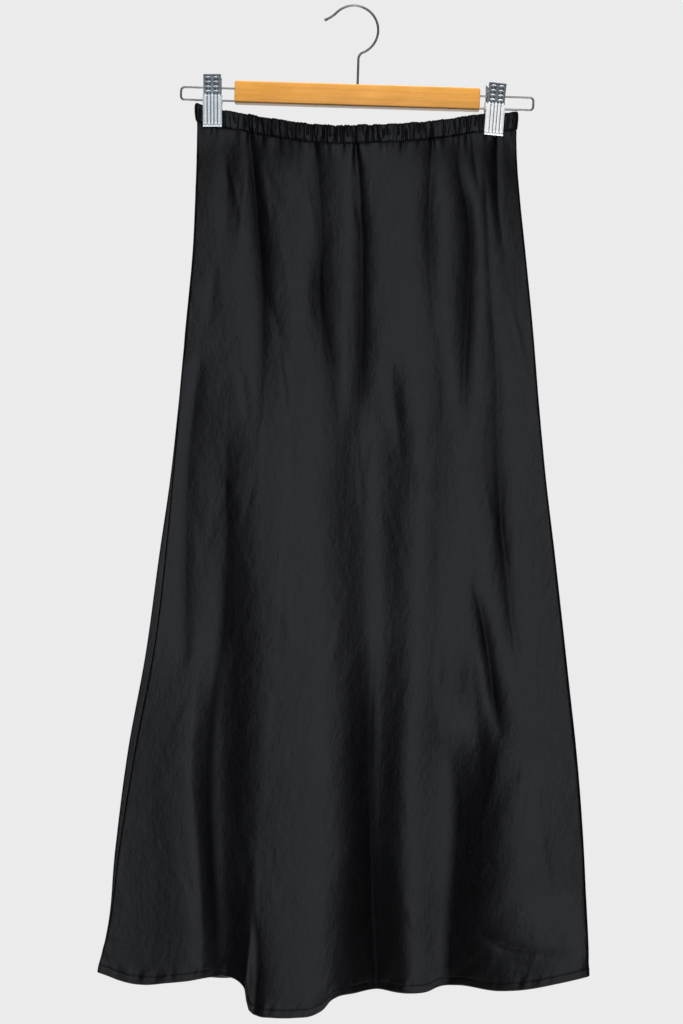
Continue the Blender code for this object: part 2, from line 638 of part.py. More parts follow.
def spring_points():
    """A leg down from the front grip, the coil round the wire, and a leg up the back grip."""
    turns = SPRING_TURNS + 0.5
    steps = round(turns * SPRING_STEPS)
    points = []
    for step in range(steps + 1):
        share = step / steps
        angle = math.pi + share * turns * 2 * math.pi
        points.append(
            (
                SPRING_LENGTH * (share - 0.5),
                SPRING_RADIUS * math.cos(angle),
                SPRING_RADIUS * math.sin(angle),
            )
        )
    leg_out = SPRING_RADIUS + SPRING_SPREAD
    front = (points[0][0], -leg_out, SPRING_LEG)
    back = (points[-1][0], leg_out, SPRING_LEG)
    return [front, *points, back]


def build_clip(word, x, tilt, turn):
    pivot = empty(
        f"clip_{word}_pivot",
        (x, 0.0, LOOP_MIDDLE - LOOP_SPACING / 2),
        (0, tilt, turn),
        HANGER,
    )
    front_lug = CLIP_WIDTH / 2 - LUG_INSET
    back_lug = front_lug + GAP
    plate(f"clip_{word}_front", -1, front_lug - LUG_SHEET, front_lug, pivot)
    plate(f"clip_{word}_back", 1, back_lug, back_lug + LUG_SHEET, pivot)
    wire(f"clip_{word}_spring", spring_points(), SPRING_WIRE, SPRING_STEEL, pivot)


# ---- skirt ----------------------------------------------------------------------------------


def waist_top(across):
    """Height of the casing's top edge."""
    return -flowing(WAIST_EDGE, "drop", across)


def seam_height(across):
    return waist_top(across) - CASING_HEIGHT


def level_at(down):
    columns = (flowing(LEVELS, column, down) for column in Level._fields[1:])
    return Level(down, *columns)


def fold_shape(fold, down, across):
    """How far one fold stands out."""
    if not fold.rows[0].down <= down <= fold.rows[-1].down:
        return 0.0 * across
    middle, left, right, height = (flowing(fold.rows, column, down) for column in Row._fields[1:])
    reach = np.where(across < middle, left, right)
    return height * np.exp(-(np.abs((across - middle) / reach) ** fold.section))


def sway(x, down):
    """The waist follows the turn of the right clip, dying away below it and towards the left."""
    clip_x = CLIP_RIGHT_X * math.cos(TILT) + (LOOP_MIDDLE - LOOP_SPACING / 2) * math.sin(TILT)
    follow = SWAY_REACH * np.tanh((x - clip_x) / SWAY_REACH) * math.tan(CLIP_RIGHT_TURN)
    shows = ease((x - SWAY_FROM) / (SWAY_TO - SWAY_FROM))
    return follow * shows * (1.0 - ease(down / SWAY_DOWN))


def half_ring(level, front):
    """Close points over the front or the back, left to right: x, y and the share across."""
    across = (1.0 - np.cos(np.linspace(0.0, math.pi, RING_STEPS))) / 2.0
    width = level.right - level.left
    from_side = np.minimum(across, 1.0 - across) * width
    turned = 1.0 - np.minimum(from_side / level.edge, 1.0)
    if front:
        middle = level.front
        side = level.front_left + (level.front_right - level.front_left) * across
    else:
        middle, side = level.back, level.back_side
    out = side + (middle - side) * (4.0 * across * (1.0 - across)) ** level.crown
    x = level.left + width * across
    room = out - (FRONT_CLEAR if front else BACK_CLEAR)
    stands = 0.0 * across
    for fold in FRONT_FOLDS if front else BACK_FOLDS:
        one = fold_shape(fold, level.down, across)
        stands = stands + one
        x = x + fold.lean * one * ease(from_side / LEAN_CLEAR)
    deep = np.maximum(-stands, 0.0)
    out = out + np.maximum(stands, 0.0) - deep / (1.0 + (deep / room) ** 4) ** 0.25
    out = out * np.sqrt(1.0 - turned**2)
    y = (-out if front else out) + sway(x, level.down)
    return np.stack([x, y, across], axis=1)


def lengths(points):
    steps = np.hypot(np.diff(points[:, 0]), np.diff(points[:, 1]))
    return np.concatenate([[0.0], np.cumsum(steps)])


def panel_ring(level, front, thickness, heights):
    """One panel's points at one level, seam to seam, just short of each seam.

    heights gives the height of a point from its share across and from which side it is on."""
    rings = []
    for is_front in (True, False):
        ring = half_ring(level, is_front)
        rings.append(np.column_stack([ring[:, :2], heights(ring[:, 2], is_front)]))
    over, behind = rings
    trim = GAP / 2 + TRIM_SHARE * thickness
    if front:
        line = over
        start = level.roll + trim
        stop = lengths(line)[-1] - trim
    else:
        rolled = over[1 : np.searchsorted(lengths(over), level.roll) + 2]
        line = np.concatenate([behind[::-1], rolled])
        start = trim
        stop = lengths(behind)[-1] + level.roll - trim
    quarter = level.edge * math.pi / 2
    near = np.array(EDGE_SHARES) * quarter
    between = np.linspace(start + near[-1], stop - near[-1], FLAT_STEPS + 1)[1:-1]
    stations = np.concatenate([start + near, between, (stop - near)[::-1]])
    along = lengths(line)
    return np.column_stack([np.interp(stations, along, line[:, axis]) for axis in range(3)])


def wall(name, rings, thickness, finish):
    """A cloth wall through the rings, of even thickness."""
    shape = bmesh.new()
    rows = [[shape.verts.new(point) for point in ring] for ring in rings]
    for above, below in zip(rows, rows[1:]):
        for i in range(len(above) - 1):
            shape.faces.new((above[i], below[i], below[i + 1], above[i + 1]))
    mesh = bpy.data.meshes.new(name)
    shape.to_mesh(mesh)
    shape.free()
    mesh.shade_smooth()
    made = place(name, mesh, finish)
    solid = made.modifiers.new("wall", "SOLIDIFY")
    solid.thickness = thickness
    solid.offset = 0
    solid.use_even_offset = True
    return made


def build_panel(name, front):
    hems = {True: FRONT_HEM, False: BACK_HEM}
    rings = []
    for down in np.linspace(0.0, 1.0, PANEL_ROWS + 1):

        def heights(across, is_front, down=down):
            top = seam_height(across) - GAP
            hem = -flowing(hems[is_front], "drop", across)
            return top + (hem - top) * down

        rings.append(panel_ring(level_at(down), front, CLOTH, heights))
    wall(name, rings, CLOTH, SATIN)


def build_casing(name, front):
    seam = level_at(0.0)
    top = seam._replace(left=WAIST_LEFT, right=WAIST_RIGHT)
    rings = []
    for share in (0.0, 0.5, 1.0):
        level = Level(*(a + (b - a) * share for a, b in zip(top, seam)))

        def heights(across, _, share=share):
            return waist_top(across) - CASING_HEIGHT * share

        rings.append(panel_ring(level, front, CASING_THICK, heights))
    wall(name, rings, CASING_THICK, CASING)


build_hanger()
build_clip("left", CLIP_LEFT_X, -TILT, 0.0)
build_clip("right", CLIP_RIGHT_X, CLIP_RIGHT_TILT, CLIP_RIGHT_TURN)
build_panel("front_panel", True)
build_panel("back_panel", False)
build_casing("waistband_front", True)
build_casing("waistband_back", False)
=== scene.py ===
import math
from collections import namedtuple

import bmesh
import bpy
import numpy as np
from mathutils import Matrix, Vector


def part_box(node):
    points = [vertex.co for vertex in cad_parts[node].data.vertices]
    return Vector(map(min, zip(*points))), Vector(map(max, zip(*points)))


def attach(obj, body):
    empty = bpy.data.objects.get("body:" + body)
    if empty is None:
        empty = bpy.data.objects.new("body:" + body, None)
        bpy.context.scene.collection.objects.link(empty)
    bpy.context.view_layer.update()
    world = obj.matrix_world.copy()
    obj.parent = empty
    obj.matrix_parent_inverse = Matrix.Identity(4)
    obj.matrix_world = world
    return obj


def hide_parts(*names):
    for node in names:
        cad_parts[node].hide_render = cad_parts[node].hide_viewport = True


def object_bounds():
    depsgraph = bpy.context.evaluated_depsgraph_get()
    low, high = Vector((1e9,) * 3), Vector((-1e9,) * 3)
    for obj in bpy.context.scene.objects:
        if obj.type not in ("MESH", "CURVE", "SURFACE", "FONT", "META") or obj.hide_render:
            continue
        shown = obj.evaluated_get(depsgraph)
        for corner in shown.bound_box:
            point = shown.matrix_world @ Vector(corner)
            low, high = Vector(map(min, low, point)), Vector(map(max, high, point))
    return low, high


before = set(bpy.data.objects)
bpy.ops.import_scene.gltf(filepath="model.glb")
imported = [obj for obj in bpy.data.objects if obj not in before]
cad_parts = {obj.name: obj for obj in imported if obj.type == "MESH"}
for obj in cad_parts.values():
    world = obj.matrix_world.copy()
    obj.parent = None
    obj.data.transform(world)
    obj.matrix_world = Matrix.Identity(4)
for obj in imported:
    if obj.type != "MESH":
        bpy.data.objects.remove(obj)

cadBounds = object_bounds()
scene = bpy.context.scene
print("frame loaded:", len(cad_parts), "nodes")


# helpers for curves and tables

def ease(share):  # 0 to 1 with a soft start and end
    share = np.clip(share, 0.0, 1.0)
    return share * share * (3.0 - 2.0 * share)


def flowing(rows, column, at):  # a table's column on a smooth curve through its rows
    places = np.array([row[0] for row in rows])
    values = np.array([getattr(row, column) for row in rows])
    slopes = np.gradient(values, places)
    at = np.clip(at, places[0], places[-1])
    last = np.clip(np.searchsorted(places, at, side="right"), 1, len(places) - 1)
    first = last - 1
    span = places[last] - places[first]
    t = (at - places[first]) / span
    start = (1 + 2 * t) * (1 - t) ** 2 * values[first] + t * (1 - t) ** 2 * span * slopes[first]
    return start + t * t * (3 - 2 * t) * values[last] + t * t * (t - 1) * span * slopes[last]


def wander(at, step, seed):  # a smooth random line from -1 to 1, a new value each step
    values = np.random.default_rng(seed).uniform(-1.0, 1.0, int(1.2 / step) + 4)
    place = np.clip(at / step, 0.0, len(values) - 2.001)
    first = place.astype(int)
    return values[first] + (values[first + 1] - values[first]) * ease(place - first)


def bell(distance, width):
    return np.exp(-((distance / width) ** 2))


# helpers for meshes

def addObject(name, data):
    made = bpy.data.objects.new(name, data)
    scene.collection.objects.link(made)
    return made


def addMesh(name, points, faces, finish, uv):
    mesh = bpy.data.meshes.new(name)
    mesh.from_pydata(points.tolist(), [], faces)
    mesh.shade_smooth()
    corners = np.empty(len(mesh.loops), int)
    mesh.loops.foreach_get("vertex_index", corners)
    mesh.uv_layers.new(name="cloth").data.foreach_set("uv", uv[corners].ravel())
    mesh.materials.append(finish)
    return addObject(name, mesh)


def meshOf(name, shape):  # a bmesh as a mesh, and freed
    mesh = bpy.data.meshes.new(name)
    shape.to_mesh(mesh)
    shape.free()
    return mesh


def unit(vectors):
    return vectors / np.maximum(np.linalg.norm(vectors, axis=-1, keepdims=True), 1e-12)


def gridNormals(grid):
    return unit(np.cross(np.gradient(grid, axis=0), np.gradient(grid, axis=1)))


def addShell(name, grid, thickness, finish, uv):  # a closed thin wall, its outside towards the grid's front
    rows, columns = grid.shape[:2]
    count = rows * columns
    out = gridNormals(grid) * (thickness / 2)
    points = np.concatenate([(grid + out).reshape(-1, 3), (grid - out).reshape(-1, 3)])
    index = np.arange(count).reshape(rows, columns)
    outer = np.stack([index[:-1, :-1], index[1:, :-1], index[1:, 1:], index[:-1, 1:]], -1).reshape(-1, 4)
    border = np.concatenate([index[0], index[1:, -1], index[-1, -2::-1], index[-2:0:-1, 0]])
    ahead = np.roll(border, -1)
    rim = np.stack([border, ahead, ahead + count, border + count], -1)
    faces = np.concatenate([outer, outer[:, ::-1] + count, rim]).tolist()
    uv = uv.reshape(count, -1)
    made = addMesh(name, points, faces, finish, np.concatenate([uv, uv])[:, :2])
    # a third uv column is painted shade, kept as the shadow attribute
    if uv.shape[1] > 2:
        made.data.attributes.new("shadow", "FLOAT", "POINT").data.foreach_set("value", np.tile(uv[:, 2], 2))
    return made


def baked(made, name):  # the object's modifiers turned into its plain mesh
    graph = bpy.context.evaluated_depsgraph_get()
    plain = addObject(name, bpy.data.meshes.new_from_object(made.evaluated_get(graph)))
    bpy.data.objects.remove(made)
    plain.data.name = name
    return plain


# helpers for materials

def addNode(tree, kind, values=None, **options):
    node = tree.nodes.new(kind)
    for key, value in options.items():
        setattr(node, key, value)
    for key, value in (values or {}).items():
        node.inputs[key].default_value = value
    return node


def linkAll(tree, *links):  # each from one node's output to another's input
    for source, output, target, entry in links:
        tree.links.new(source.outputs[output], target.inputs[entry])


def newMaterial(name, values):
    made = bpy.data.materials.new(name)
    made.use_nodes = True
    shader = made.node_tree.nodes["Principled BSDF"]
    for key, value in values.items():
        shader.inputs[key].default_value = value
    return made, made.node_tree, shader


def feed(tree, node, sources):
    for key, source in sources.items():
        tree.links.new(source, node.inputs[key])


def ramped(tree, source, stops):  # a factor turned into a colour
    ramp = addNode(tree, "ShaderNodeValToRGB")
    while len(ramp.color_ramp.elements) < len(stops):
        ramp.color_ramp.elements.new(0.5)
    for element, (place, colour) in zip(ramp.color_ramp.elements, stops):
        element.position = place
        element.color = (*colour, 1.0)
    tree.links.new(source, ramp.inputs["Fac"])
    return ramp.outputs["Color"]


def multiplied(tree, first, second):  # one colour darkened by another
    mix = addNode(tree, "ShaderNodeMix", {"Factor": 1.0}, data_type="RGBA", blend_type="MULTIPLY")
    tree.links.new(first, mix.inputs["A"])
    tree.links.new(second, mix.inputs["B"])
    return mix.outputs["Result"]


def noise(tree, vector, scale, detail=3.0, roughness=0.55):
    node = addNode(tree, "ShaderNodeTexNoise", {"Scale": scale, "Detail": detail, "Roughness": roughness})
    tree.links.new(vector, node.inputs["Vector"])
    return node.outputs["Fac"]


def mapped(tree, vector, scale=(1, 1, 1), rotation=(0, 0, 0)):
    node = addNode(tree, "ShaderNodeMapping", {"Scale": scale, "Rotation": rotation})
    tree.links.new(vector, node.inputs["Vector"])
    return node.outputs["Vector"]


def grained(tree, vector, scale, detail=3.0, roughness=0.55):  # noise stretched by a scale for each axis
    return noise(tree, mapped(tree, vector, scale), 1.0, detail, roughness)


def spread(tree, source, low, high):  # a factor stretched from low to high
    node = addNode(tree, "ShaderNodeMapRange", {"To Min": low, "To Max": high})
    tree.links.new(source, node.inputs["Value"])
    return node.outputs["Result"]


def bumped(tree, height, strength, distance, under=None):
    node = addNode(tree, "ShaderNodeBump", {"Strength": strength, "Distance": distance})
    tree.links.new(height, node.inputs["Height"])
    if under is not None:
        tree.links.new(under, node.inputs["Normal"])
    return node.outputs["Normal"]


# materials

satinLook = {  # each noise: its scale, detail and roughness; each bump: its strength and distance
    "black": ((0.25, (0.0011, 0.0011, 0.0014)), (0.75, (0.0022, 0.0023, 0.0027))),
    "mottle": 45.0,
    "rough": (0.27, 0.34),
    "shine": (0.5, 0.09),  # the specular level in the open, and in the narrow folds' bottoms, where it is lowered as painted shade
    "streaks": ((900.0, 60.0, 1.0), 2.0),
    "waveScale": 0.314 / 0.00036,  # for a twill of 0.36 mm
    "threadTurn": 0.62,
    "threadBump": (0.10, 0.00008),
    "slubs": ((260.0, 110.0, 1.0), 4.0, 0.6),
    "slubBump": (0.22, 0.0006),
    "crumples": ((60.0, 34.0, 1.0), 4.0, 0.62),
    "crumpleDeep": 0.0030,
}


def satinMaterial(name, look, crush):
    made, tree, shader = newMaterial(name, {
        "Sheen Weight": 0.01,
        "Sheen Roughness": 0.45,
        "Sheen Tint": (0.80, 0.88, 1.0, 1.0),
        "Anisotropic": 0.25,
    })
    weave = addNode(tree, "ShaderNodeUVMap", uv_map="cloth").outputs["UV"]
    place = addNode(tree, "ShaderNodeTexCoord").outputs["Object"]
    streaks = grained(tree, weave, *look["streaks"])
    slub = grained(tree, weave, *look["slubs"])
    crumple = grained(tree, weave, *look["crumples"])
    # the shadow attribute is painted shade: it lowers the specular level in the folds' bottoms, along the
    # hem's stitches and under the casing
    paintedShade = addNode(tree, "ShaderNodeAttribute", attribute_name="shadow").outputs["Fac"]
    twill = addNode(tree, "ShaderNodeTexWave", {"Scale": look["waveScale"], "Distortion": 0.0})
    feed(tree, twill, {"Vector": mapped(tree, weave, rotation=(0, 0, look["threadTurn"]))})
    normal = bumped(tree, crumple, crush, look["crumpleDeep"])
    normal = bumped(tree, slub, *look["slubBump"], normal)
    feed(tree, shader, {
        "Base Color": ramped(tree, noise(tree, place, look["mottle"]), look["black"]),
        "Specular IOR Level": spread(tree, paintedShade, *look["shine"]),
        "Roughness": spread(tree, streaks, *look["rough"]),
        "Normal": bumped(tree, twill.outputs["Fac"], *look["threadBump"], normal),
    })
    return made


def threadMaterial():
    made, tree, shader = newMaterial("blackThread", {"Roughness": 0.6, "Specular IOR Level": 0.08})
    ply = noise(tree, addNode(tree, "ShaderNodeTexCoord").outputs["Object"], 3000.0, 2.0)
    black = ramped(tree, ply, ((0.3, (0.006, 0.006, 0.007)), (0.7, (0.016, 0.016, 0.018))))
    feed(tree, shader, {"Base Color": black, "Normal": bumped(tree, ply, 0.5, 0.0001)})
    return made


woodLook = {
    "grain": ((14.0, 240.0, 420.0), 5.0, 0.6),
    "figure": ((30.0, 40.0, 55.0), 3.0, 0.5),
    "pores": ((260.0, 1500.0, 2600.0), 2.0, 0.5),
    "honey": ((0.25, (0.70, 0.315, 0.052)), (0.50, (0.80, 0.375, 0.072)), (0.80, (0.87, 0.430, 0.098))),
    "cloudy": ((0.30, (0.90, 0.86, 0.80)), (0.62, (1.0, 1.0, 1.0))),
    "dark": ((0.27, (0.74, 0.62, 0.48)), (0.34, (1.0, 1.0, 1.0))),
    "rough": (0.34, 0.50),
    "bump": (0.12, 0.0004),
}


def woodMaterial(look, tilt):
    made, tree, shader = newMaterial("honeyVarnishedWood", {
        "Coat Weight": 0.35,
        "Coat Roughness": 0.18,
        "Specular IOR Level": 0.35,
    })
    place = addNode(tree, "ShaderNodeTexCoord").outputs["Object"]
    level = mapped(tree, place, rotation=(0, -tilt, 0))
    grain = grained(tree, level, *look["grain"])
    honey = ramped(tree, grain, look["honey"])
    for marks, tint in (("figure", "cloudy"), ("pores", "dark")):
        honey = multiplied(tree, honey, ramped(tree, grained(tree, level, *look[marks]), look[tint]))
    feed(tree, shader, {
        "Base Color": honey,
        "Roughness": spread(tree, grain, *look["rough"]),
        "Normal": bumped(tree, grain, *look["bump"]),
    })
    return made


def steelMaterial(name, pale, dull, rough, bump, metallic):
    made, tree, shader = newMaterial(name, {"Metallic": metallic})
    place = addNode(tree, "ShaderNodeTexCoord").outputs["Object"]
    stain = noise(tree, place, 240.0, 4.0, 0.6)
    fine = grained(tree, place, (900.0, 900.0, 2400.0))
    feed(tree, shader, {
        "Base Color": ramped(tree, stain, ((0.35, dull), (0.62, pale))),
        "Roughness": spread(tree, fine, *rough),
        "Normal": bumped(tree, fine, bump, 0.00006),
    })
    return made


hangerTilt = math.radians(1.76)  # the right end hangs lower
satin = satinMaterial("blackSatin", satinLook, 0.20)
gatheredSatin = satinMaterial("gatheredSatin", satinLook, 0.45)
thread = threadMaterial()
wood = woodMaterial(woodLook, hangerTilt)
wireSteel = steelMaterial("brightWire", (0.62, 0.62, 0.61), (0.40, 0.39, 0.375), (0.10, 0.22), 0.10, 1.0)
springSteel = steelMaterial("springSteel", (0.55, 0.57, 0.58), (0.36, 0.37, 0.38), (0.22, 0.36), 0.15, 1.0)
# a darker copy of the plate's nickel, painted on as shade where the grip tilts away and in its grooves and
# foot line
paintedShadeSteel = steelMaterial("nickelPaintedShade", (0.30, 0.33, 0.36), (0.22, 0.25, 0.27), (0.24, 0.38), 0.15, 0.60)
# one nickel plate in two copies, painted lighter on the right clip and darker on the left for how the light
# falls on each
plateSteel = {
    "left": steelMaterial("nickelPlatePaintedDim", (0.76, 0.84, 0.87), (0.68, 0.76, 0.79), (0.20, 0.34), 0.15, 0.30),
    "right": steelMaterial(
        "nickelPlatePaintedBright", (0.98, 0.985, 0.99), (0.95, 0.955, 0.96), (0.20, 0.34), 0.15, 0.12,
    ),
}
print("materials ready")


# geometry node trees: a round wire along a path, and stitches along a path

def newTree(name, inputs):
    tree = bpy.data.node_groups.new(name, "GeometryNodeTree")
    tree.interface.new_socket("Geometry", in_out="INPUT", socket_type="NodeSocketGeometry")
    tree.interface.new_socket("Geometry", in_out="OUTPUT", socket_type="NodeSocketGeometry")
    for label, kind, value in inputs:
        tree.interface.new_socket(label, in_out="INPUT", socket_type=kind).default_value = value
    tree.interface.new_socket("Material", in_out="INPUT", socket_type="NodeSocketMaterial")
    return tree, tree.nodes.new("NodeGroupInput")


def endTree(tree, given, source, output):
    real = addNode(tree, "GeometryNodeRealizeInstances")
    smooth = addNode(tree, "GeometryNodeSetShadeSmooth")
    paint = addNode(tree, "GeometryNodeSetMaterial")
    result = addNode(tree, "NodeGroupOutput")
    linkAll(
        tree, (source, output, real, "Geometry"), (real, "Geometry", smooth, "Geometry"),
        (smooth, "Geometry", paint, "Geometry"), (given, "Material", paint, "Material"),
        (paint, "Geometry", result, "Geometry"),
    )
    return tree


def wireTree():
    tree, given = newTree("wireAlongPath", (
        ("Wire Radius", "NodeSocketFloat", 0.001),
        ("Sides", "NodeSocketInt", 16),
    ))
    path = addNode(tree, "GeometryNodeMeshToCurve")
    section = addNode(tree, "GeometryNodeCurvePrimitiveCircle")
    sweep = addNode(tree, "GeometryNodeCurveToMesh", {"Fill Caps": True})
    linkAll(
        tree, (given, "Geometry", path, "Mesh"), (given, "Wire Radius", section, "Radius"),
        (given, "Sides", section, "Resolution"), (path, "Curve", sweep, "Curve"),
        (section, "Curve", sweep, "Profile Curve"),
    )
    return endTree(tree, given, sweep, "Mesh")


def stitchTree():
    tree, given = newTree("stitchesAlongPath", (
        ("Pitch", "NodeSocketFloat", 0.003),
        ("Stitch Length", "NodeSocketFloat", 0.0022),
        ("Thread Radius", "NodeSocketFloat", 0.0002),
    ))
    path = addNode(tree, "GeometryNodeMeshToCurve")
    even = addNode(tree, "GeometryNodeResampleCurve", mode="LENGTH")
    bead = addNode(tree, "GeometryNodeMeshUVSphere", {"Segments": 6, "Rings": 4, "Radius": 0.5})
    tangent = addNode(tree, "GeometryNodeInputTangent")
    turn = addNode(tree, "FunctionNodeAlignEulerToVector", axis="X")
    size = addNode(tree, "ShaderNodeCombineXYZ")
    thick = addNode(tree, "ShaderNodeMath", {1: 2.0}, operation="MULTIPLY")
    place = addNode(tree, "GeometryNodeInstanceOnPoints")
    linkAll(
        tree, (given, "Geometry", path, "Mesh"), (path, "Curve", even, "Curve"),
        (given, "Pitch", even, "Length"), (even, "Curve", place, "Points"),
        (bead, "Mesh", place, "Instance"), (tangent, "Tangent", turn, "Vector"),
        (turn, "Rotation", place, "Rotation"), (given, "Thread Radius", thick, 0),
        (given, "Stitch Length", size, "X"), (thick, 0, size, "Y"), (thick, 0, size, "Z"),
        (size, "Vector", place, "Scale"),
    )
    return endTree(tree, given, place, "Instances")


def alongPath(name, points, tree, values):  # the tree run on an open path, as a plain mesh
    mesh = bpy.data.meshes.new(name + "Path")
    mesh.from_pydata([tuple(point) for point in points], [(i, i + 1) for i in range(len(points) - 1)], [])
    made = addObject(name + "Path", mesh)
    modifier = made.modifiers.new(tree.name, "NODES")
    modifier.node_group = tree
    sockets = {item.name: item.identifier for item in tree.interface.items_tree if item.in_out == "INPUT"}
    for label, value in values.items():
        modifier[sockets[label]] = value
    return baked(made, name)


roundWire = wireTree()
threadStitches = stitchTree()


def wireAlong(name, points, diameter, sides, finish):
    values = {"Wire Radius": diameter / 2, "Sides": sides, "Material": finish}
    return alongPath(name, points, roundWire, values)


def finished(piece, slotName, *nodes):
    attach(piece, "root")
    if nodes:
        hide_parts(*nodes)
    return piece


# hanger, drawn level about the hook's inner top and then tilted as it hangs

hangerTurn = Matrix.Rotation(hangerTilt, 4, "Y")

hook = {
    "wire": 0.0024,
    "radius": 0.0244,  # of the round, to the wire's middle
    "roundEnds": math.radians(136),
    "tipRadius": 0.035,
    "tipTurn": math.radians(24),
    "stemX": 0.0055,
    "stemBelow": 0.004,  # where the stem's straight ends, under its bend
    "bendRadius": 0.007,
    "seat": 0.011,  # of the stem inside the bar
    "tipFlare": 1.25,  # times the wire, where its end is cropped
    "flareReach": 0.004,
    "steps": {"bend": 14, "round": 90, "tip": 22},
}
bar = {
    "length": 0.245,
    "height": 0.0218,
    "depth": 0.014,
    "edge": 0.0017,
    "boreClear": 0.0002,  # round each wire
    "boreLength": 0.026,
    "boreSides": 24,
    "sharp": math.radians(50),  # the angle from which an edge shows
}
loops = {
    "wire": 0.0022,
    "spacing": 0.0124,
    "middle": 0.0131,  # under the bar's top
    "reach": 0.1762,
    "corner": 0.0036,
    "straight": 0.02,  # before each corner
    "steps": 10,
    "seat": 0.013,
}
wireSides = 20


def arcPoints(centre, radius, start, stop, steps):
    turns = np.linspace(start, stop, steps + 1)
    return [Vector((centre[0] + radius * math.cos(a), 0.0, centre[1] + radius * math.sin(a))) for a in turns]


def barTop():  # height of the level bar's top, from the tilted node's box
    low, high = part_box("hanger_bar")
    half = (bar["length"] * math.sin(hangerTilt) + bar["height"] * math.cos(hangerTilt)) / 2
    middle = Matrix.Rotation(-hangerTilt, 4, "Y") @ Vector(((low.x + high.x) / 2, 0, high.z - half))
    return middle.z + bar["height"] / 2


def hookPath():
    steps = hook["steps"]
    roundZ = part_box("hanger_hook")[1].z - hook["wire"] / 2 - hook["radius"]
    bendX = hook["stemX"] + hook["bendRadius"]
    bendZ = roundZ - math.sqrt((hook["radius"] + hook["bendRadius"]) ** 2 - bendX ** 2)
    join = math.atan2(bendZ - roundZ, bendX)
    reach = hook["radius"] + hook["tipRadius"]
    ends = hook["roundEnds"]
    tipMiddle = (reach * math.cos(ends), roundZ + reach * math.sin(ends))
    tipFrom = ends - math.pi
    path = [Vector((hook["stemX"], 0, z)) for z in (barTop() - hook["seat"], bendZ - hook["stemBelow"])]
    path += arcPoints((bendX, bendZ), hook["bendRadius"], math.pi, join + math.pi, steps["bend"])
    path += arcPoints((0, roundZ), hook["radius"], join, ends, steps["round"])[1:]
    path += arcPoints(tipMiddle, hook["tipRadius"], tipFrom, tipFrom - hook["tipTurn"], steps["tip"])[1:]
    return path


def loopPath(side, top):
    inner = bar["length"] / 2 - loops["seat"]
    corner = loops["reach"] - loops["corner"]
    middle = top - loops["middle"]
    half = loops["spacing"] / 2
    rise = half - loops["corner"]
    quarter = math.pi / 2
    straight = corner - loops["straight"]
    path = [Vector((inner, 0, middle + half)), Vector((straight, 0, middle + half))]
    path += arcPoints((corner, middle + rise), loops["corner"], quarter, 0, loops["steps"])
    path += arcPoints((corner, middle - rise), loops["corner"], 0, -quarter, loops["steps"])
    path += [Vector((straight, 0, middle - half)), Vector((inner, 0, middle - half))]
    return [Vector((hook["stemX"] + side * p.x, p.y, p.z)) for p in path]


def hung(path):
    return [hangerTurn @ point for point in path]


def buildHook():
    path = hung(hookPath())
    piece = wireAlong("hookWire", path, hook["wire"], wireSides, wireSteel)
    tip = path[-1]
    for vertex in piece.data.vertices:
        near = max(0.0, 1.0 - (vertex.co - tip).length / hook["flareReach"])
        centre = min(path[-12:], key=lambda p: (p - vertex.co).length)
        vertex.co = centre + (vertex.co - centre) * (1.0 + (hook["tipFlare"] - 1.0) * min(1.0, 2.0 * near))
    finished(piece, "wire", "hanger_hook")


def buildLoops():
    for side, word in ((-1, "left"), (1, "right")):
        path = hung(loopPath(side, barTop()))
        piece = wireAlong(f"{word}LoopWire", path, loops["wire"], wireSides, wireSteel)
        finished(piece, "wire", f"loop_{word}")


def drillAt(place, turn, wire):
    radius = wire / 2 + bar["boreClear"]
    shape = bmesh.new()
    bmesh.ops.create_cone(
        shape, cap_ends=True, segments=bar["boreSides"], radius1=radius, radius2=radius,
        depth=bar["boreLength"],
    )
    shape.transform(Matrix.Translation(place) @ Matrix.Rotation(turn, 4, "Y"))
    return addObject("drill", meshOf("drill", shape))


def buildBar():
    top = barTop()
    shape = bmesh.new()
    bmesh.ops.create_cube(shape, size=1.0)
    bmesh.ops.scale(shape, vec=(bar["length"], bar["depth"], bar["height"]), verts=shape.verts)
    bmesh.ops.translate(shape, vec=(hook["stemX"], 0, top - bar["height"] / 2), verts=shape.verts)
    bmesh.ops.bevel(shape, geom=shape.edges, offset=bar["edge"], segments=4, profile=0.5, affect="EDGES")
    made = addObject("woodBarBlank", meshOf("woodBar", shape))
    drills = [drillAt((hook["stemX"], 0, top), 0.0, hook["wire"])]
    for side in (-1, 1):
        for up in (-1, 1):
            height = top - loops["middle"] + up * loops["spacing"] / 2
            place = (hook["stemX"] + side * bar["length"] / 2, 0, height)
            drills.append(drillAt(place, math.pi / 2, loops["wire"]))
    for drill in drills:
        cut = made.modifiers.new("bore", "BOOLEAN")
        cut.operation = "DIFFERENCE"
        cut.object = drill
    piece = baked(made, "woodBar")
    for drill in drills:
        bpy.data.objects.remove(drill)
    piece.data.transform(hangerTurn)
    piece.data.materials.clear()
    piece.data.materials.append(wood)
    piece.data.shade_smooth()
    piece.data.set_sharp_from_angle(angle=bar["sharp"])
    finished(piece, "wood", "hanger_bar")


buildBar()
buildHook()
buildLoops()
print("hanger built")


# clips: two pressed plates and a spring each

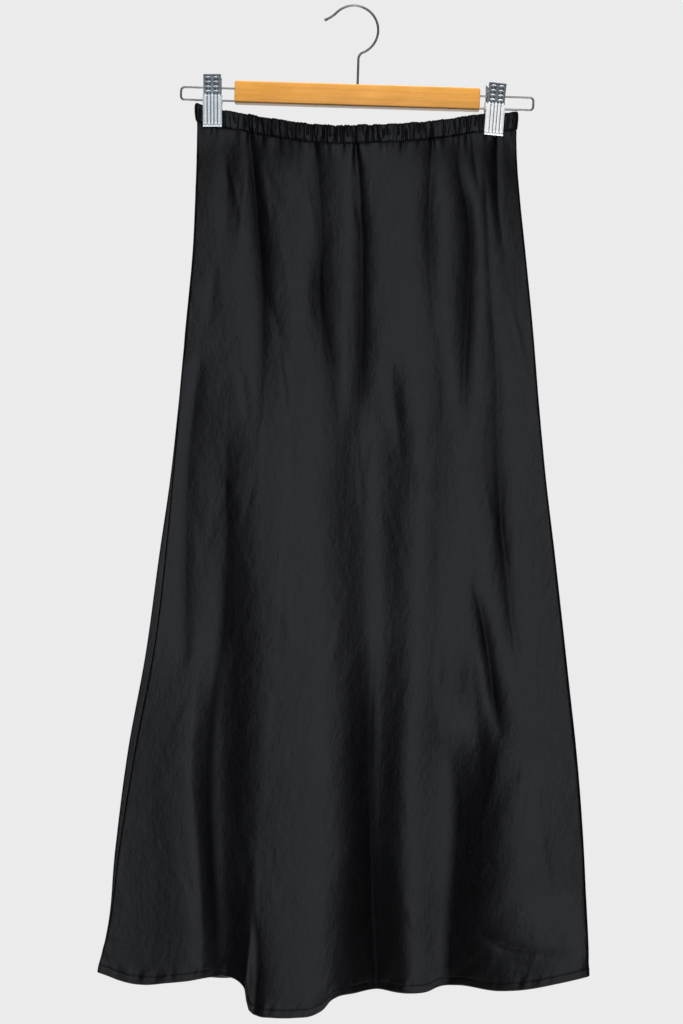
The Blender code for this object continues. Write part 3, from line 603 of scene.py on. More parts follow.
clip = {
    "width": 0.0174,
    "gripWidth": 0.0160,  # of the finger grip, a little narrower
    "widensFrom": 0.017,  # from the top edge, as all that follows down the plate
    "widensOver": 0.006,
    "sheet": 0.0007,
    "flatFrom": 0.90,  # of the half width, where the pressing fades
    "flatOver": 0.08,
    "sharp": math.radians(38),
    "flange": 0.0022,  # how far the sides are bent back
    "bend": 0.0004,
    "columns": 60,
    "rows": 176,
    "dimpleX": 0.0040,  # from the middle to each column of dimples
    "dimpleRows": 4,
    "dimpleFirst": 0.0042,
    "dimplePitch": 0.0044,
    "dimpleRadius": 0.0021,
    "dimpleWiden": 1.22,  # times as wide as tall
    "dimpleRise": 0.0010,
    "dimpleLit": 0.12,  # a dimple's faces that look up more than this keep the bright plate, a painted highlight
    "lip": (0.0012, 0.0020),  # a shallow line across the top
    "lipDepth": 0.0004,
    "lipSoft": 0.0006,
    "gripEnds": 0.0197,  # in scallops, one to each groove
    "gripScallop": 0.0009,
    "gripStep": 0.0004,
    "gripSoft": 0.0006,
    "groovePitch": 0.0034,
    "grooveX": (-0.0051, -0.0017, 0.0017, 0.0051),
    "grooveFrom": 0.0215,
    "grooveTo": 0.0485,
    "grooveWidth": 0.00062,
    "grooveDepth": 0.00055,
    "grooveSoft": 0.0008,
    "grooveFloor": 0.00045,  # of its bottom, to each side
    "footLine": (0.0490, 0.0505),
    "footTall": 0.0007,
    "footScallop": 0.0006,
    "footDepth": 0.0005,
    "footSoft": 0.0005,
    "lugAbove": 0.0060,
    "lugBelow": 0.0026,
    "lugReach": 0.00372,
    "lugBack": 0.0045,
    "lugSheet": 0.001,
    "lugInset": 0.0006,
    "lugStep": 0.0013,  # the back plate's lugs lie outside the front's
    "springWire": 0.0011,
    "springSides": 12,
    "springRadius": 0.0028,
    "springTurns": 6.5,
    "springSteps": 24,  # in a turn
    "springLength": 0.0112,
    "springLeg": 0.0125,
    "springSpread": 0.0013,
}
# side view of a plate's outer face: out from the wire, and up from it
PlatePoint = namedtuple("PlatePoint", "up out")
plateSide = (
    PlatePoint(-0.0275, 0.0052),
    PlatePoint(-0.0250, 0.0044),
    PlatePoint(-0.0190, 0.0044),
    PlatePoint(-0.0120, 0.0048),
    PlatePoint(-0.0030, 0.0056),
    PlatePoint(0.0030, 0.0058),
    PlatePoint(0.0105, 0.0064),
    PlatePoint(0.0242, 0.0092),
)


def clipFrame(word, tilt, turn):  # from a clip's own axes, at the wire, to where it hangs
    lows, highs = zip(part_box(f"clip_{word}_front"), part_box(f"clip_{word}_back"))
    low = Vector(min(corner[i] for corner in lows) for i in range(3))
    high = Vector(max(corner[i] for corner in highs) for i in range(3))
    turned = hangerTurn @ Matrix.Rotation(turn, 4, "Z") @ Matrix.Rotation(tilt, 4, "Y")
    own = Vector((0, 0, (plateSide[0].up + plateSide[-1].up) / 2))
    return Matrix.Translation((low + high) / 2 - turned @ own) @ turned


def scalloped(x, down, edge, depth, shift):  # how far below a scalloped line
    return down - edge - depth * np.cos((x - shift) / clip["groovePitch"] * 2 * math.pi)


def belowGrip(x, down):
    return scalloped(x, down, clip["gripEnds"], clip["gripScallop"], clip["groovePitch"] / 2)


def belowFoot(x, down):
    return scalloped(x, down, clip["footLine"][0], clip["footScallop"], 0.0)


def fromDimple(x, down, row, side):
    across = (x - side * clip["dimpleX"]) / clip["dimpleWiden"]
    return np.hypot(across, down - clip["dimpleFirst"] - row * clip["dimplePitch"])


def pressedLine(start, past, soft):  # 1 along a line pressed between two distances
    return ease(start / soft) * (1 - ease(past / soft))


def plateRelief(x, down):  # how far the pressing stands out from the plain sheet
    relief = clip["gripStep"] * ease(belowGrip(x, down) / clip["gripSoft"])
    for row in range(clip["dimpleRows"]):
        for side in (-1, 1):
            away = fromDimple(x, down, row, side) / clip["dimpleRadius"]
            relief += clip["dimpleRise"] * np.sqrt(np.clip(1 - away ** 2, 0, 1))
    soft = clip["grooveSoft"]
    along = pressedLine(down - clip["grooveFrom"], down - clip["grooveTo"] + soft, soft)
    for middle in clip["grooveX"]:
        relief -= clip["grooveDepth"] * along * bell(x - middle, clip["grooveWidth"])
    foot = pressedLine(belowFoot(x, down), down - clip["footLine"][1], clip["footSoft"])
    lip = pressedLine(down - clip["lip"][0], down - clip["lip"][1], clip["lipSoft"])
    relief -= clip["footDepth"] * foot
    return relief - clip["lipDepth"] * lip


def inPaintedShade(face):  # painted shade: the grip between its dimples' lit tops, the grooves' bottoms and the foot's line
    x, down = face.center.x, plateSide[-1].up - face.center.z
    row = round((down - clip["dimpleFirst"]) / clip["dimplePitch"])
    paintedHighlight = fromDimple(abs(x), down, row, 1) < clip["dimpleRadius"] and face.normal.z > clip["dimpleLit"]
    if belowGrip(x, down) < 0:
        return not paintedHighlight
    groove = any(abs(x - middle) < clip["grooveFloor"] for middle in clip["grooveX"])
    return groove and down < clip["grooveTo"] or 0 < belowFoot(x, down) < clip["footTall"]


def buildPlate(word, part, frameOf, facing):
    height = plateSide[-1].up - plateSide[0].up
    down = np.linspace(0.0, height, clip["rows"])
    up = plateSide[-1].up - down
    widens = ease((down - clip["widensFrom"]) / clip["widensOver"])
    width = clip["gripWidth"] + (clip["width"] - clip["gripWidth"]) * widens
    out = flowing(plateSide, "out", up)
    share = np.linspace(-1, 1, clip["columns"])
    flat = width[:, None] / 2 * share[None]
    relief = plateRelief(flat, down[:, None] + 0 * flat)
    relief = relief * (1 - ease((np.abs(share) - clip["flatFrom"]) / clip["flatOver"]))
    face = np.stack([flat, -(out[:, None] + relief), up[:, None] + 0 * flat], -1)
    sides = []
    for side, edge in ((-1, face[:, :1]), (1, face[:, -1:])):
        bend = []
        for turn, inward in ((0.5, 0.0), (1.0, 0.0), (1.0, 0.5), (1.0, 1.0)):
            moved = edge.copy()
            moved[..., 0] += side * clip["bend"] * math.sin(turn * math.pi / 2)
            moved[..., 1] += clip["bend"] * (1 - math.cos(turn * math.pi / 2)) + inward * clip["flange"]
            bend.append(moved)
        sides.append(bend if side > 0 else bend[::-1])
    grid = np.concatenate([*sides[0], face, *sides[1]], axis=1)
    if facing > 0:
        grid = grid[:, ::-1] * (1, -1, 1)
    piece = addShell(f"{word}Clip{part}", grid, clip["sheet"], plateSteel[word], grid[..., :2])
    # painted shade: the darker nickel goes on the grip, the grooves' bottoms and the foot's line, and the
    # dimples' upward faces keep the bright plate as a painted highlight
    piece.data.materials.append(paintedShadeSteel)
    for face in piece.data.polygons:
        face.material_index = int(inPaintedShade(face))
    lugX = width[-1] / 2 - clip["lugInset"] + (clip["lugStep"] if facing > 0 else 0.0)
    joinInto(piece, [lugMesh(side * lugX, facing) for side in (-1, 1)])
    piece.data.transform(frameOf)
    piece.data.shade_smooth()
    piece.data.set_sharp_from_angle(angle=clip["sharp"])
    finished(piece, "clip", f"clip_{word}_{part.lower()}")


def lugMesh(x, facing):  # a rounded ear that the loop's lower wire passes through
    outline = [(facing * clip["lugBack"], -clip["lugBelow"])]
    for turn in np.linspace(-math.pi / 2, math.pi / 2, 15):
        tall = clip["lugAbove"] if turn > 0 else clip["lugBelow"]
        outline.append((-facing * clip["lugReach"] * math.cos(turn), tall * math.sin(turn)))
    outline.append((facing * clip["lugBack"], clip["lugAbove"]))
    shape = bmesh.new()
    face = shape.faces.new([shape.verts.new((x - clip["lugSheet"] / 2, y, z)) for y, z in outline])
    pushed = bmesh.ops.extrude_face_region(shape, geom=[face])
    moved = [item for item in pushed["geom"] if isinstance(item, bmesh.types.BMVert)]
    bmesh.ops.translate(shape, vec=(clip["lugSheet"], 0, 0), verts=moved)
    bmesh.ops.recalc_face_normals(shape, faces=shape.faces)
    return meshOf("lug", shape)


def joinInto(piece, meshes):
    shape = bmesh.new()
    shape.from_mesh(piece.data)
    for mesh in meshes:
        shape.from_mesh(mesh)
        bpy.data.meshes.remove(mesh)
    shape.to_mesh(piece.data)
    shape.free()


def springPath():
    turns, radius = clip["springTurns"], clip["springRadius"]
    share = np.linspace(0, 1, round(turns * clip["springSteps"]) + 1)
    angle = math.pi + share * turns * 2 * math.pi
    coil = [
        Vector((clip["springLength"] * (s - 0.5), radius * math.cos(a), radius * math.sin(a)))
        for s, a in zip(share, angle)
    ]
    out = radius + clip["springSpread"]
    return [Vector((coil[0].x, -out, clip["springLeg"])), *coil, Vector((coil[-1].x, out, clip["springLeg"]))]


def buildClip(word, tilt, turn):
    frameOf = clipFrame(word, tilt, turn)
    buildPlate(word, "Front", frameOf, -1)
    buildPlate(word, "Back", frameOf, 1)
    path = [frameOf @ point for point in springPath()]
    spring = wireAlong(f"{word}ClipSpring", path, clip["springWire"], clip["springSides"], springSteel)
    finished(spring, "spring", f"clip_{word}_spring")


rightClipTurn = math.radians(8)
buildClip("left", -hangerTilt, 0.0)
buildClip("right", math.radians(2.2), rightClipTurn)
print("clips built")


# skirt: its form between the waist seam and the hem

def boxOf(*nodes):
    lows, highs = zip(*map(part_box, nodes))
    return Vector(map(min, *lows)), Vector(map(max, *highs))


skirtLow, skirtHigh = boxOf("front_panel", "back_panel")
casingLow, casingHigh = boxOf("waistband_front", "waistband_back")
waistWide = casingHigh.x - casingLow.x
clipXs = [sum(corner.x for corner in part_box(f"clip_{word}_front")) / 2 for word in ("left", "right")]

skirt = {
    "cloth": 0.0007,
    "casingHeight": 0.0170,
    "columns": 248,
    "turnColumns": 44,
    "ringSteps": 1600,
    "seamClear": 0.00002,
    "turnReach": 2.2,  # of the finer columns round the left side, in quarter turns
    "foldClear": 0.016,  # folds die away this close to a side
    "frontClear": -0.0030,  # how near the tube's middle plane a trough may come, past it if below 0
    "backClear": 0.0056,
    "shadowSection": 1.8,  # only folds sharper than this get painted shade, in full this much below it
    "shadowSharper": 0.5,
    "shadowDepth": 0.0035,
    "shadowReach": 0.45,
    "shadowWidest": 0.013,
    # the back's folds get this share of the painted shade
    "backShadow": 0.4,
    "swayReach": 0.020,
    "swayTurn": rightClipTurn,
    "swayFrom": -0.04,  # the waist starts to follow the clip here, and does so fully this far on
    "swayOver": 0.12,
    "swayDown": 0.35,
    "allowance": (0.0006, 0.0022, 0.0040, 0.0056),  # of the side seams, turned in
    "allowanceLean": (0.0003, 0.3),  # inward of the seam: at most, and for each length turned in
    "waistTurn": ((0.0004, 0.0016), (0.0003, 0.0006)),  # up and in, behind the casing
    "hemLip": 0.0004,
    "hemTurn": 0.0015,
    "hemBand": 0.0072,
}
edgeTurns = (0.0, 0.08, 0.18, 0.30, 0.44, 0.60, 0.78, 0.98, 1.20, 1.45, 1.75, 2.10)
rowShares = np.concatenate([
    np.linspace(0.0, 0.02, 15)[:-1],
    np.linspace(0.02, 0.09, 28)[:-1],
    np.linspace(0.09, 0.94, 96)[:-1],
    np.linspace(0.94, 0.985, 16)[:-1],
    np.linspace(0.985, 1.0, 14),
])

# down in hundredths of the length, left and right in ten-thousandths of the skirt's reach on that
# side of the hook, the rest in tenths of a millimetre, and crown as it is
Level = namedtuple("Level", "down left right front leftSide rightSide back backSide edge crown roll")
levelUnits = Level(100, 10000, 10000, 10000, 10000, 10000, 10000, 10000, 10000, 1, 10000)
levels = tuple(Level(*(value / part for value, part in zip(row, levelUnits))) for row in (
    (0, 6129, 6992, 125, 18, 18, 125, 18, 9, 4.0, 0),
    (3, 6140, 7020, 122, 30, 30, 125, 28, 9, 1.6, 0),
    (8, 6185, 7140, 118, 66, 66, 130, 44, 9, 1.0, 0),
    (15, 6285, 7390, 115, 86, 88, 140, 56, 10, 1.0, 0),
    (24, 6558, 7700, 115, 94, 98, 150, 64, 11, 1.0, 40),
    (33, 6831, 7960, 115, 98, 100, 165, 70, 11, 1.0, 98),
    (42, 7155, 8265, 115, 104, 100, 180, 74, 11, 1.0, 122),
    (51, 7583, 8650, 115, 110, 98, 190, 78, 11, 1.0, 165),
    (63, 8129, 9125, 115, 116, 96, 205, 82, 11, 1.0, 188),
    (74, 8792, 9510, 115, 124, 92, 220, 86, 11, 1.0, 194),
    (86, 9299, 9810, 115, 134, 88, 230, 90, 11, 1.0, 172),
    (95, 9591, 9935, 115, 138, 86, 240, 92, 11, 1.0, 148),
    (100, 9981, 9979, 115, 138, 86, 240, 92, 11, 1.0, 138),
))

# each crease runs down through its rows: its bottom or crest across the skirt and the reach of its
# two sides, in thousandths of the width, and how far it stands out, in tenths of a millimetre; its
# section is 1 for a sharp V and more for a rounder fold, and its crest may lean sideways
Crease = namedtuple("Crease", "section lean rows")
Row = namedtuple("Row", "down across left right height")


def crease(section, *rows, lean=0.0):
    return Crease(section, lean, tuple(Row(*(n / 1000 for n in row[:4]), row[4] / 10000) for row in rows))


frontFolds = (
    crease(
        1.3, (0, 166, 14, 14, -12), (45, 178, 17, 16, -22), (115, 196, 33, 25, -32),
        (210, 218, 50, 32, -23), (300, 226, 55, 45, -12), (370, 235, 60, 60, 0),
    ),
    crease(
        1.3, (0, 365, 14, 14, -8), (20, 372, 28, 28, -14), (90, 386, 36, 36, -20),
        (185, 386, 33, 30, -32), (280, 434, 44, 30, -16), (340, 450, 40, 40, 0),
    ),
    crease(
        1.3, (0, 498, 12, 12, -7), (20, 503, 12, 12, -10), (90, 510, 26, 21, -20),
        (185, 507, 28, 26, -25), (280, 505, 44, 36, -27), (360, 500, 50, 40, 0),
    ),
    crease(
        1.3, (0, 737, 14, 14, -6), (30, 731, 22, 22, -12), (100, 717, 32, 32, -22),
        (195, 716, 30, 30, -10), (250, 720, 30, 30, 0),
    ),
    crease(
        1.3, (0, 825, 14, 14, -7), (30, 818, 22, 24, -12), (100, 837, 34, 30, -29),
        (195, 818, 38, 28, -30), (290, 795, 30, 22, -18), (360, 790, 30, 30, 0),
    ),
    crease(1.3, (0, 860, 10, 10, -6), (30, 865, 13, 12, -10), (80, 878, 14, 12, 0)),
    crease(
        1.3, (40, 895, 10, 10, 0), (100, 893, 16, 15, -8), (195, 886, 20, 20, -9),
        (290, 888, 22, 22, -12), (380, 877, 30, 36, -18), (475, 872, 17, 20, -22),
        (570, 878, 22, 30, -12), (640, 875, 30, 30, 0),
    ),
    crease(
        1.3, (6, 938, 10, 10, 0), (30, 936, 12, 11, -10), (100, 930, 16, 14, -9), (170, 940, 14, 14, 0),
    ),
    crease(
        1.6, (15, 92, 25, 25, 0), (45, 95, 27, 27, -11), (115, 101, 30, 35, -8), (160, 106, 30, 30, 0),
    ),
    crease(1.6, (160, 70, 20, 20, 0), (210, 67, 18, 18, -5), (250, 60, 18, 18, 0)),
    crease(  # shallow trough near the left side
        1.4, (260, 52, 17, 17, 0), (300, 45, 17, 22, -9), (395, 41, 26, 30, -12), (490, 60, 40, 30, -14),
        (580, 82, 50, 21, -13), (660, 100, 50, 20, 0),
    ),
    crease(  # long trough on the left
        1.3, (340, 140, 50, 30, 0), (395, 146, 50, 24, -10), (490, 168, 56, 40, -15),
        (580, 178, 56, 80, -22), (675, 176, 46, 120, -30), (770, 190, 42, 120, -42),
        (860, 210, 42, 110, -50), (930, 226, 42, 90, -54), (1000, 245, 50, 90, -46),
    ),
    crease(  # low ridge left of it
        1.5, (580, 112, 60, 40, 0), (675, 130, 80, 50, 30), (770, 149, 84, 50, 44),
        (860, 180, 92, 50, 58), (930, 193, 92, 50, 60), (1000, 214, 88, 50, 52),
    ),
    crease(  # broad ridge left of the middle
        3.8, (180, 290, 160, 160, 0), (280, 292, 165, 170, 12), (370, 301, 176, 162, 26),
        (460, 328, 170, 149, 38), (550, 342, 151, 148, 48), (640, 348, 134, 152, 56),
        (730, 360, 128, 153, 66), (820, 371, 130, 152, 72), (890, 375, 124, 146, 84),
        (1000, 389, 116, 150, 100), lean=-0.3,
    ),
    crease(  # long trough in the middle
        2.0, (250, 535, 80, 50, 0), (280, 535, 85, 55, -10), (370, 545, 105, 70, -48),
        (465, 546, 90, 62, -42), (560, 548, 66, 58, -28), (655, 540, 50, 60, -24),
        (750, 542, 48, 58, -12), (840, 549, 50, 60, 0),
    ),
    crease(  # its sharper foot
        1.3, (580, 538, 26, 40, 0), (655, 538, 26, 42, -20), (750, 542, 32, 43, -48),
        (845, 549, 34, 47, -68), (915, 554, 44, 53, -88), (1000, 572, 50, 56, -98),
    ),
    crease(  # the narrow ridge between the two
        1.6, (500, 552, 16, 18, 0), (600, 546, 14, 18, 4), (675, 545, 12, 18, 7), (770, 546, 12, 18, 8),
        (880, 552, 12, 18, 0),
    ),
    crease(  # the small ridge beside it
        2.0, (420, 660, 50, 50, 0), (475, 650, 46, 60, 6), (570, 640, 46, 60, 12), (660, 632, 48, 60, 22),
        (755, 626, 50, 64, 29), (850, 624, 52, 66, 34), (920, 624, 52, 58, 38), (1000, 630, 50, 50, 40),
    ),
    crease(
        1.6, (250, 594, 30, 30, 0), (280, 594, 30, 30, -15), (370, 615, 28, 26, -7),
        (440, 605, 30, 30, 0),
    ),
    crease(  # trough right of the middle
        1.5, (180, 720, 30, 30, 0), (290, 736, 36, 36, -14), (380, 728, 34, 34, -15),
        (475, 713, 33, 33, -11), (570, 700, 30, 30, -4), (665, 684, 30, 30, -4), (755, 730, 56, 60, -22),
        (850, 728, 60, 56, -36), (920, 714, 56, 50, -46), (1000, 716, 52, 60, -47),
    ),
    crease(
        1.3, (520, 790, 10, 20, 0), (570, 807, 12, 18, -20), (615, 817, 13, 17, -22),
        (665, 824, 18, 18, -26), (720, 835, 20, 30, 0),
    ),
    crease(
        1.6, (600, 765, 20, 20, 0), (665, 778, 34, 26, -20), (730, 785, 40, 30, -10),
        (800, 785, 40, 40, 0),
    ),
    crease(  # broad ridge on the right
        3.0, (580, 920, 110, 300, 0), (665, 920, 134, 300, 40), (755, 926, 166, 300, 150),
        (850, 936, 196, 300, 185), (920, 955, 222, 300, 195), (965, 990, 252, 300, 215),
        (1000, 1000, 262, 300, 220),
    ),
    crease(  # its lift at the corner
        1.3, (900, 980, 110, 300, 0), (965, 985, 124, 300, 60), (1000, 985, 130, 300, 66),
    ),
    crease(  # the lapping fold's edge at the hem
        1.2, (925, 302, 6, 5, 0), (950, 304, 5, 4, 8), (975, 306, 5, 4, 14), (1000, 308, 5, 4, 18),
    ),
    crease(
        1.3, (900, 312, 10, 14, 0), (940, 318, 10, 15, -10), (970, 322, 10, 16, -18),
        (1000, 326, 10, 14, -14),
    ),
    crease(  # drag lines above the hem on the right
        1.5, (928, 745, 20, 20, 0), (940, 790, 24, 24, -9), (955, 850, 26, 30, -15),
        (965, 915, 30, 36, -10), (972, 955, 40, 40, 0),
    ),
    crease(1.5, (945, 800, 20, 20, 0), (965, 850, 34, 30, -8), (985, 905, 40, 40, 0)),
)
backFolds = (
    crease(1.3, (0, 205, 20, 24, -20), (120, 190, 40, 34, -43), (360, 180, 50, 50, 0)),
    crease(1.3, (0, 430, 18, 20, -20), (100, 436, 32, 30, -37), (300, 440, 45, 40, 0)),
    crease(1.3, (0, 650, 20, 20, -20), (140, 668, 40, 34, -43), (420, 690, 50, 50, 0)),
    crease(1.3, (0, 320, 12, 12, -14), (80, 326, 16, 18, -20), (220, 330, 20, 20, 0)),
    crease(1.3, (0, 820, 14, 14, -14), (120, 838, 22, 18, -19), (280, 850, 20, 20, 0)),
    crease(
        1.5, (300, 160, 50, 50, 0), (500, 150, 60, 80, -40), (750, 140, 60, 90, -75),
        (1000, 135, 60, 90, -105),
    ),
    crease(
        3.0, (340, 280, 90, 90, 0), (550, 262, 100, 100, 34), (800, 250, 90, 100, 64),
        (1000, 240, 80, 90, 90), lean=0.2,
    ),
    crease(
        1.6, (300, 410, 60, 60, 0), (500, 405, 70, 70, -46), (750, 390, 56, 66, -80),
        (1000, 370, 52, 62, -110),
    ),
    crease(
        3.0, (340, 530, 90, 90, 0), (550, 532, 110, 100, 40), (800, 534, 105, 100, 80),
        (1000, 535, 95, 90, 110), lean=0.2,
    ),
    crease(
        1.5, (300, 690, 50, 60, 0), (500, 690, 64, 70, -44), (750, 700, 60, 64, -76),
        (1000, 720, 58, 60, -105),
    ),
    crease(2.4, (450, 800, 80, 80, 0), (750, 826, 90, 80, 52), (1000, 845, 90, 80, 80), lean=-0.1),
)

EdgePoint = namedtuple("EdgePoint", "across height")


def edgeLine(*points):  # in thousandths of the width, and tenths of a millimetre
    return tuple(EdgePoint(across / 1000, height / 10000) for across, height in points)


waistSag = edgeLine(  # below the casing's highest point
    (0, 0), (68, 55), (135, 91), (235, 158), (347, 213), (450, 242), (520, 238), (638, 219), (776, 170),
    (870, 117), (925, 92), (970, 90), (1000, 81),
)
frontHem = edgeLine(  # above the panel's lowest
    (0, 448), (20, 414), (45, 366), (70, 334), (100, 321), (140, 339), (180, 358), (230, 394), (265, 401),
    (288, 372), (300, 330), (308, 270), (313, 120), (320, 62), (334, 26), (360, 13), (410, 13), (450, 42),
    (469, 98), (482, 173), (492, 203), (530, 234), (572, 258), (613, 237), (643, 235), (674, 252),
    (698, 302), (735, 324), (817, 296), (860, 315), (940, 396), (1000, 468),
)
backHem = edgeLine(
    (0, 200), (130, 145), (250, 45), (380, 115), (540, 5), (710, 105), (850, 65), (1000, 220),
)


def waistTop(across):
    return casingHigh.z - flowing(waistSag, "height", across)


def hemHeight(across, isFront):
    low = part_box("front_panel" if isFront else "back_panel")[0].z
    return low + flowing(frontHem if isFront else backHem, "height", across)


def levelAt(down):
    return Level(down, *(flowing(levels, column, down) for column in Level._fields[1:]))


def foldShape(fold, down, across):  # how far it stands out, and how much painted shade its bottom gets
    if not fold.rows[0].down <= down <= fold.rows[-1].down:
        return 0.0 * across, 0.0 * across
    middle, left, right, height = (flowing(fold.rows, column, down) for column in Row._fields[1:])
    wall = np.where(across < middle, left, right)
    away = np.abs(across - middle)
    sharp = ease((skirt["shadowSection"] - fold.section) / skirt["shadowSharper"])
    sharp = sharp * ease(-height / skirt["shadowDepth"])
    dark = np.minimum(skirt["shadowReach"] * wall, skirt["shadowWidest"])
    return height * np.exp(-((away / wall) ** fold.section)), sharp * bell(away, dark)


def sway(x, down):  # the waist follows the turn of the right clip
    follow = skirt["swayReach"] * np.tanh((x - clipXs[1]) / skirt["swayReach"]) * math.tan(skirt["swayTurn"])
    return follow * ease((x - skirt["swayFrom"]) / skirt["swayOver"]) * (1.0 - ease(down / skirt["swayDown"]))


def halfRing(level, isFront):  # close points over the front or back, left to right: x, y, across, painted shade
    across = (1.0 - np.cos(np.linspace(0.0, math.pi, skirt["ringSteps"]))) / 2.0
    left, right = level.left * skirtLow.x, level.right * skirtHigh.x
    width = right - left
    fromSide = np.minimum(across, 1.0 - across) * width
    turned = 1.0 - np.minimum(fromSide / level.edge, 1.0)
    if isFront:
        middle, side = level.front, level.leftSide + (level.rightSide - level.leftSide) * across
    else:
        middle, side = level.back, level.backSide
    out = side + (middle - side) * (4.0 * across * (1.0 - across)) ** level.crown
    x = left + width * across
    room = out - skirt["frontClear" if isFront else "backClear"]
    stands, shadow = 0.0 * across, 0.0 * across
    for fold in frontFolds if isFront else backFolds:
        one, paintedShade = foldShape(fold, level.down, across)
        stands = stands + one
        shadow = np.maximum(shadow, paintedShade if isFront else skirt["backShadow"] * paintedShade)
        x = x + fold.lean * one * ease(fromSide / skirt["foldClear"])
    deep = np.maximum(-stands, 0.0)
    out = out + np.maximum(stands, 0.0) - deep / (1.0 + (deep / room) ** 4) ** 0.25
    out = out * np.sqrt(1.0 - turned ** 2)
    y = (-out if isFront else out) + sway(x, level.down)
    return np.stack([x, y, across, shadow], axis=1)


def lengths(points):
    steps = np.hypot(np.diff(points[:, 0]), np.diff(points[:, 1]))
    return np.concatenate([[0.0], np.cumsum(steps)])


def panelRing(level, isFront, columns):  # x, y, across, painted shade and the way along the cloth, seam to seam
    over, behind = halfRing(level, True), halfRing(level, False)
    backLength = lengths(behind)[-1]
    trim = skirt["cloth"] / 2 + skirt["seamClear"]
    if isFront:
        line = over
        start, stop = level.roll + trim, lengths(over)[-1] - trim
    else:
        rolled = over[1:np.searchsorted(lengths(over), level.roll) + 2]
        line = np.concatenate([behind[::-1], rolled])
        start, stop = trim, backLength + level.roll - trim
    quarter = level.edge * math.pi / 2
    near = np.array(edgeTurns) * quarter
    first, last = start + near[-1], stop - near[-1]
    turn, fine = last, 0
    if not isFront:  # where the back panel comes round the left side
        turn, fine = min(backLength - skirt["turnReach"] * quarter, last - 0.005), skirt["turnColumns"]
    between = np.concatenate([
        np.linspace(first, turn, columns - fine, endpoint=not fine), np.linspace(turn, last, fine),
    ])[1:-1]
    stations = np.concatenate([start + near, between, (stop - near)[::-1]])
    along = lengths(line)
    points = [np.interp(stations, along, line[:, axis]) for axis in range(4)]
    return np.column_stack([*points, stations - start])


# small folds: gathers at the waist, faint creases, puckered seams

Gather = namedtuple("Gather", "across depth width slant high low tuck reach")


def gatherRows(seed, *placed):  # placed in thousandths of the width, and tenths of a millimetre
    rows = []
    for across, *sizes in placed:
        depth, width, slant, tuck, reach = (size / 10000 for size in sizes)
        rows.append(Gather(across / 1000, depth, width, slant, 0.0, 1.0, tuck, reach))
    random = np.random.default_rng(seed)
    at = 0.010
    while at < 0.992:
        depth = random.uniform(0.3, 1.0) ** 1.6
        row = Gather(
            across=at,
            depth=0.0011 * depth,
            width=random.uniform(0.0004, 0.0008),
            slant=random.uniform(-0.0034, 0.0024),
            high=random.choice([0.0, 0.0, 0.0, 0.35]),
            low=random.choice([1.0, 1.0, 0.6]),
            tuck=random.uniform(0.0002, 0.0009) * depth,
            reach=random.uniform(0.003, 0.011) * (0.5 + depth),
        )
        at += random.uniform(0.006, 0.019)
        if all(abs(row.across - other[0] / 1000) > 0.006 for other in placed):
            rows.append(row)
    return rows


frontGathers = gatherRows(
    4,
    (163, 13, 8, -26, 10, 160),
    (190, 12, 8, 22, 4, 60),
    (284, 10, 6, 6, 4, 60),
    (309, 10, 6, 16, 4, 60),
    (408, 12, 7, 4, 6, 100),
    (458, 16, 8, 3, 6, 80),
    (497, 13, 8, 10, 16, 300),
    (568, 11, 7, -20, 3, 60),
    (642, 8, 6, 0, 14, 90),
    (736, 11, 7, -26, 10, 140),
    (845, 11, 7, -10, 10, 180),
    (940, 8, 6, 0, 12, 260),
)
backGathers = gatherRows(
    9,
    (205, 14, 12, 4, 20, 400),
    (430, 14, 12, -6, 18, 350),
    (650, 14, 12, 6, 18, 350),
)


detail = {  # the cloth's small relief
    "tuckWidth": 0.0014,
    "tuckWidens": 0.10,
    "puff": 0.0010,  # between the tucks, under the casing
    "puffStarts": 0.0020,
    "puffFades": 0.007,
    "puffUneven": 1.1,
    "puffStep": 0.009,
    "creases": 90,
    "creasesFrom": 0.03,  # below the casing
    "creasedCloth": (0.42, 0.86),  # across and down
    "creaseTurn": 0.5,
    "creaseReach": (0.012, 0.050),
    "creaseThin": (0.0022, 0.0050),
    "creaseHeight": (0.024, 0.090),  # of its thinness
    # a groove's depth and reach, and a pucker's height, step and reach
    "hemGroove": (0.00022, 0.0009),
    "hemPucker": (0.00035, 0.0055, 0.0060),
    "hemDrag": (0.00030, 0.013, 0.014),
    "hemDragUp": 0.010,
    "hemDragLean": 0.8,
    "hemBand": 0.00014,
    "hemBandFrom": 0.0012,  # under the stitches
    "hemBandOver": 0.0010,
    "seamGroove": (0.00004, 0.0010),
    "seamPucker": (0.00022, 0.0085, 0.0045),
    "seamCalm": 0.4,  # of the puckers, at the top
    "seamFull": 0.7,  # below it they are in full
    # painted shade along the hem's stitches, and in a band under the casing
    "stitchShade": 0.0010,
    "stitchShadeStrength": 0.9,
    "stitchShadeEvenness": (0.75, 0.25, 0.004),  # painted shade along the stitches: evenly, unevenly, and the step
    "casingShadeReach": 0.0016,
    "casingShadeUneven": 0.75,
    "casingShadeStep": 0.0055,
    "stitchPitch": 0.0031,
    "stitchLength": 0.0026,
    "stitchLift": 0.0004,
    "stitchEnds": 6,  # columns from the seams
    "threadRadius": 0.00022,
}


def grooved(away, depth, reach):
    return -depth * bell(away, reach)


def puckered(seed, along, away, height, step, reach):
    return height * wander(along, step, seed) * bell(away, reach)


def waistTucks(gathers, across, below):
    depth = 0.0 * across
    for g in gathers:
        width = detail["tuckWidth"] + detail["tuckWidens"] * np.minimum(below, g.reach)
        fades = np.exp(-((below / g.reach) ** 1.5))
        depth = depth - g.tuck * bell((across - g.across) * waistWide, width) * fades
    puff = (1 - np.exp(-below / detail["puffStarts"])) * np.exp(-below / detail["puffFades"])
    uneven = detail["puffUneven"] * wander(across * waistWide, detail["puffStep"], 3)
    return depth + detail["puff"] * puff * (1 + uneven)


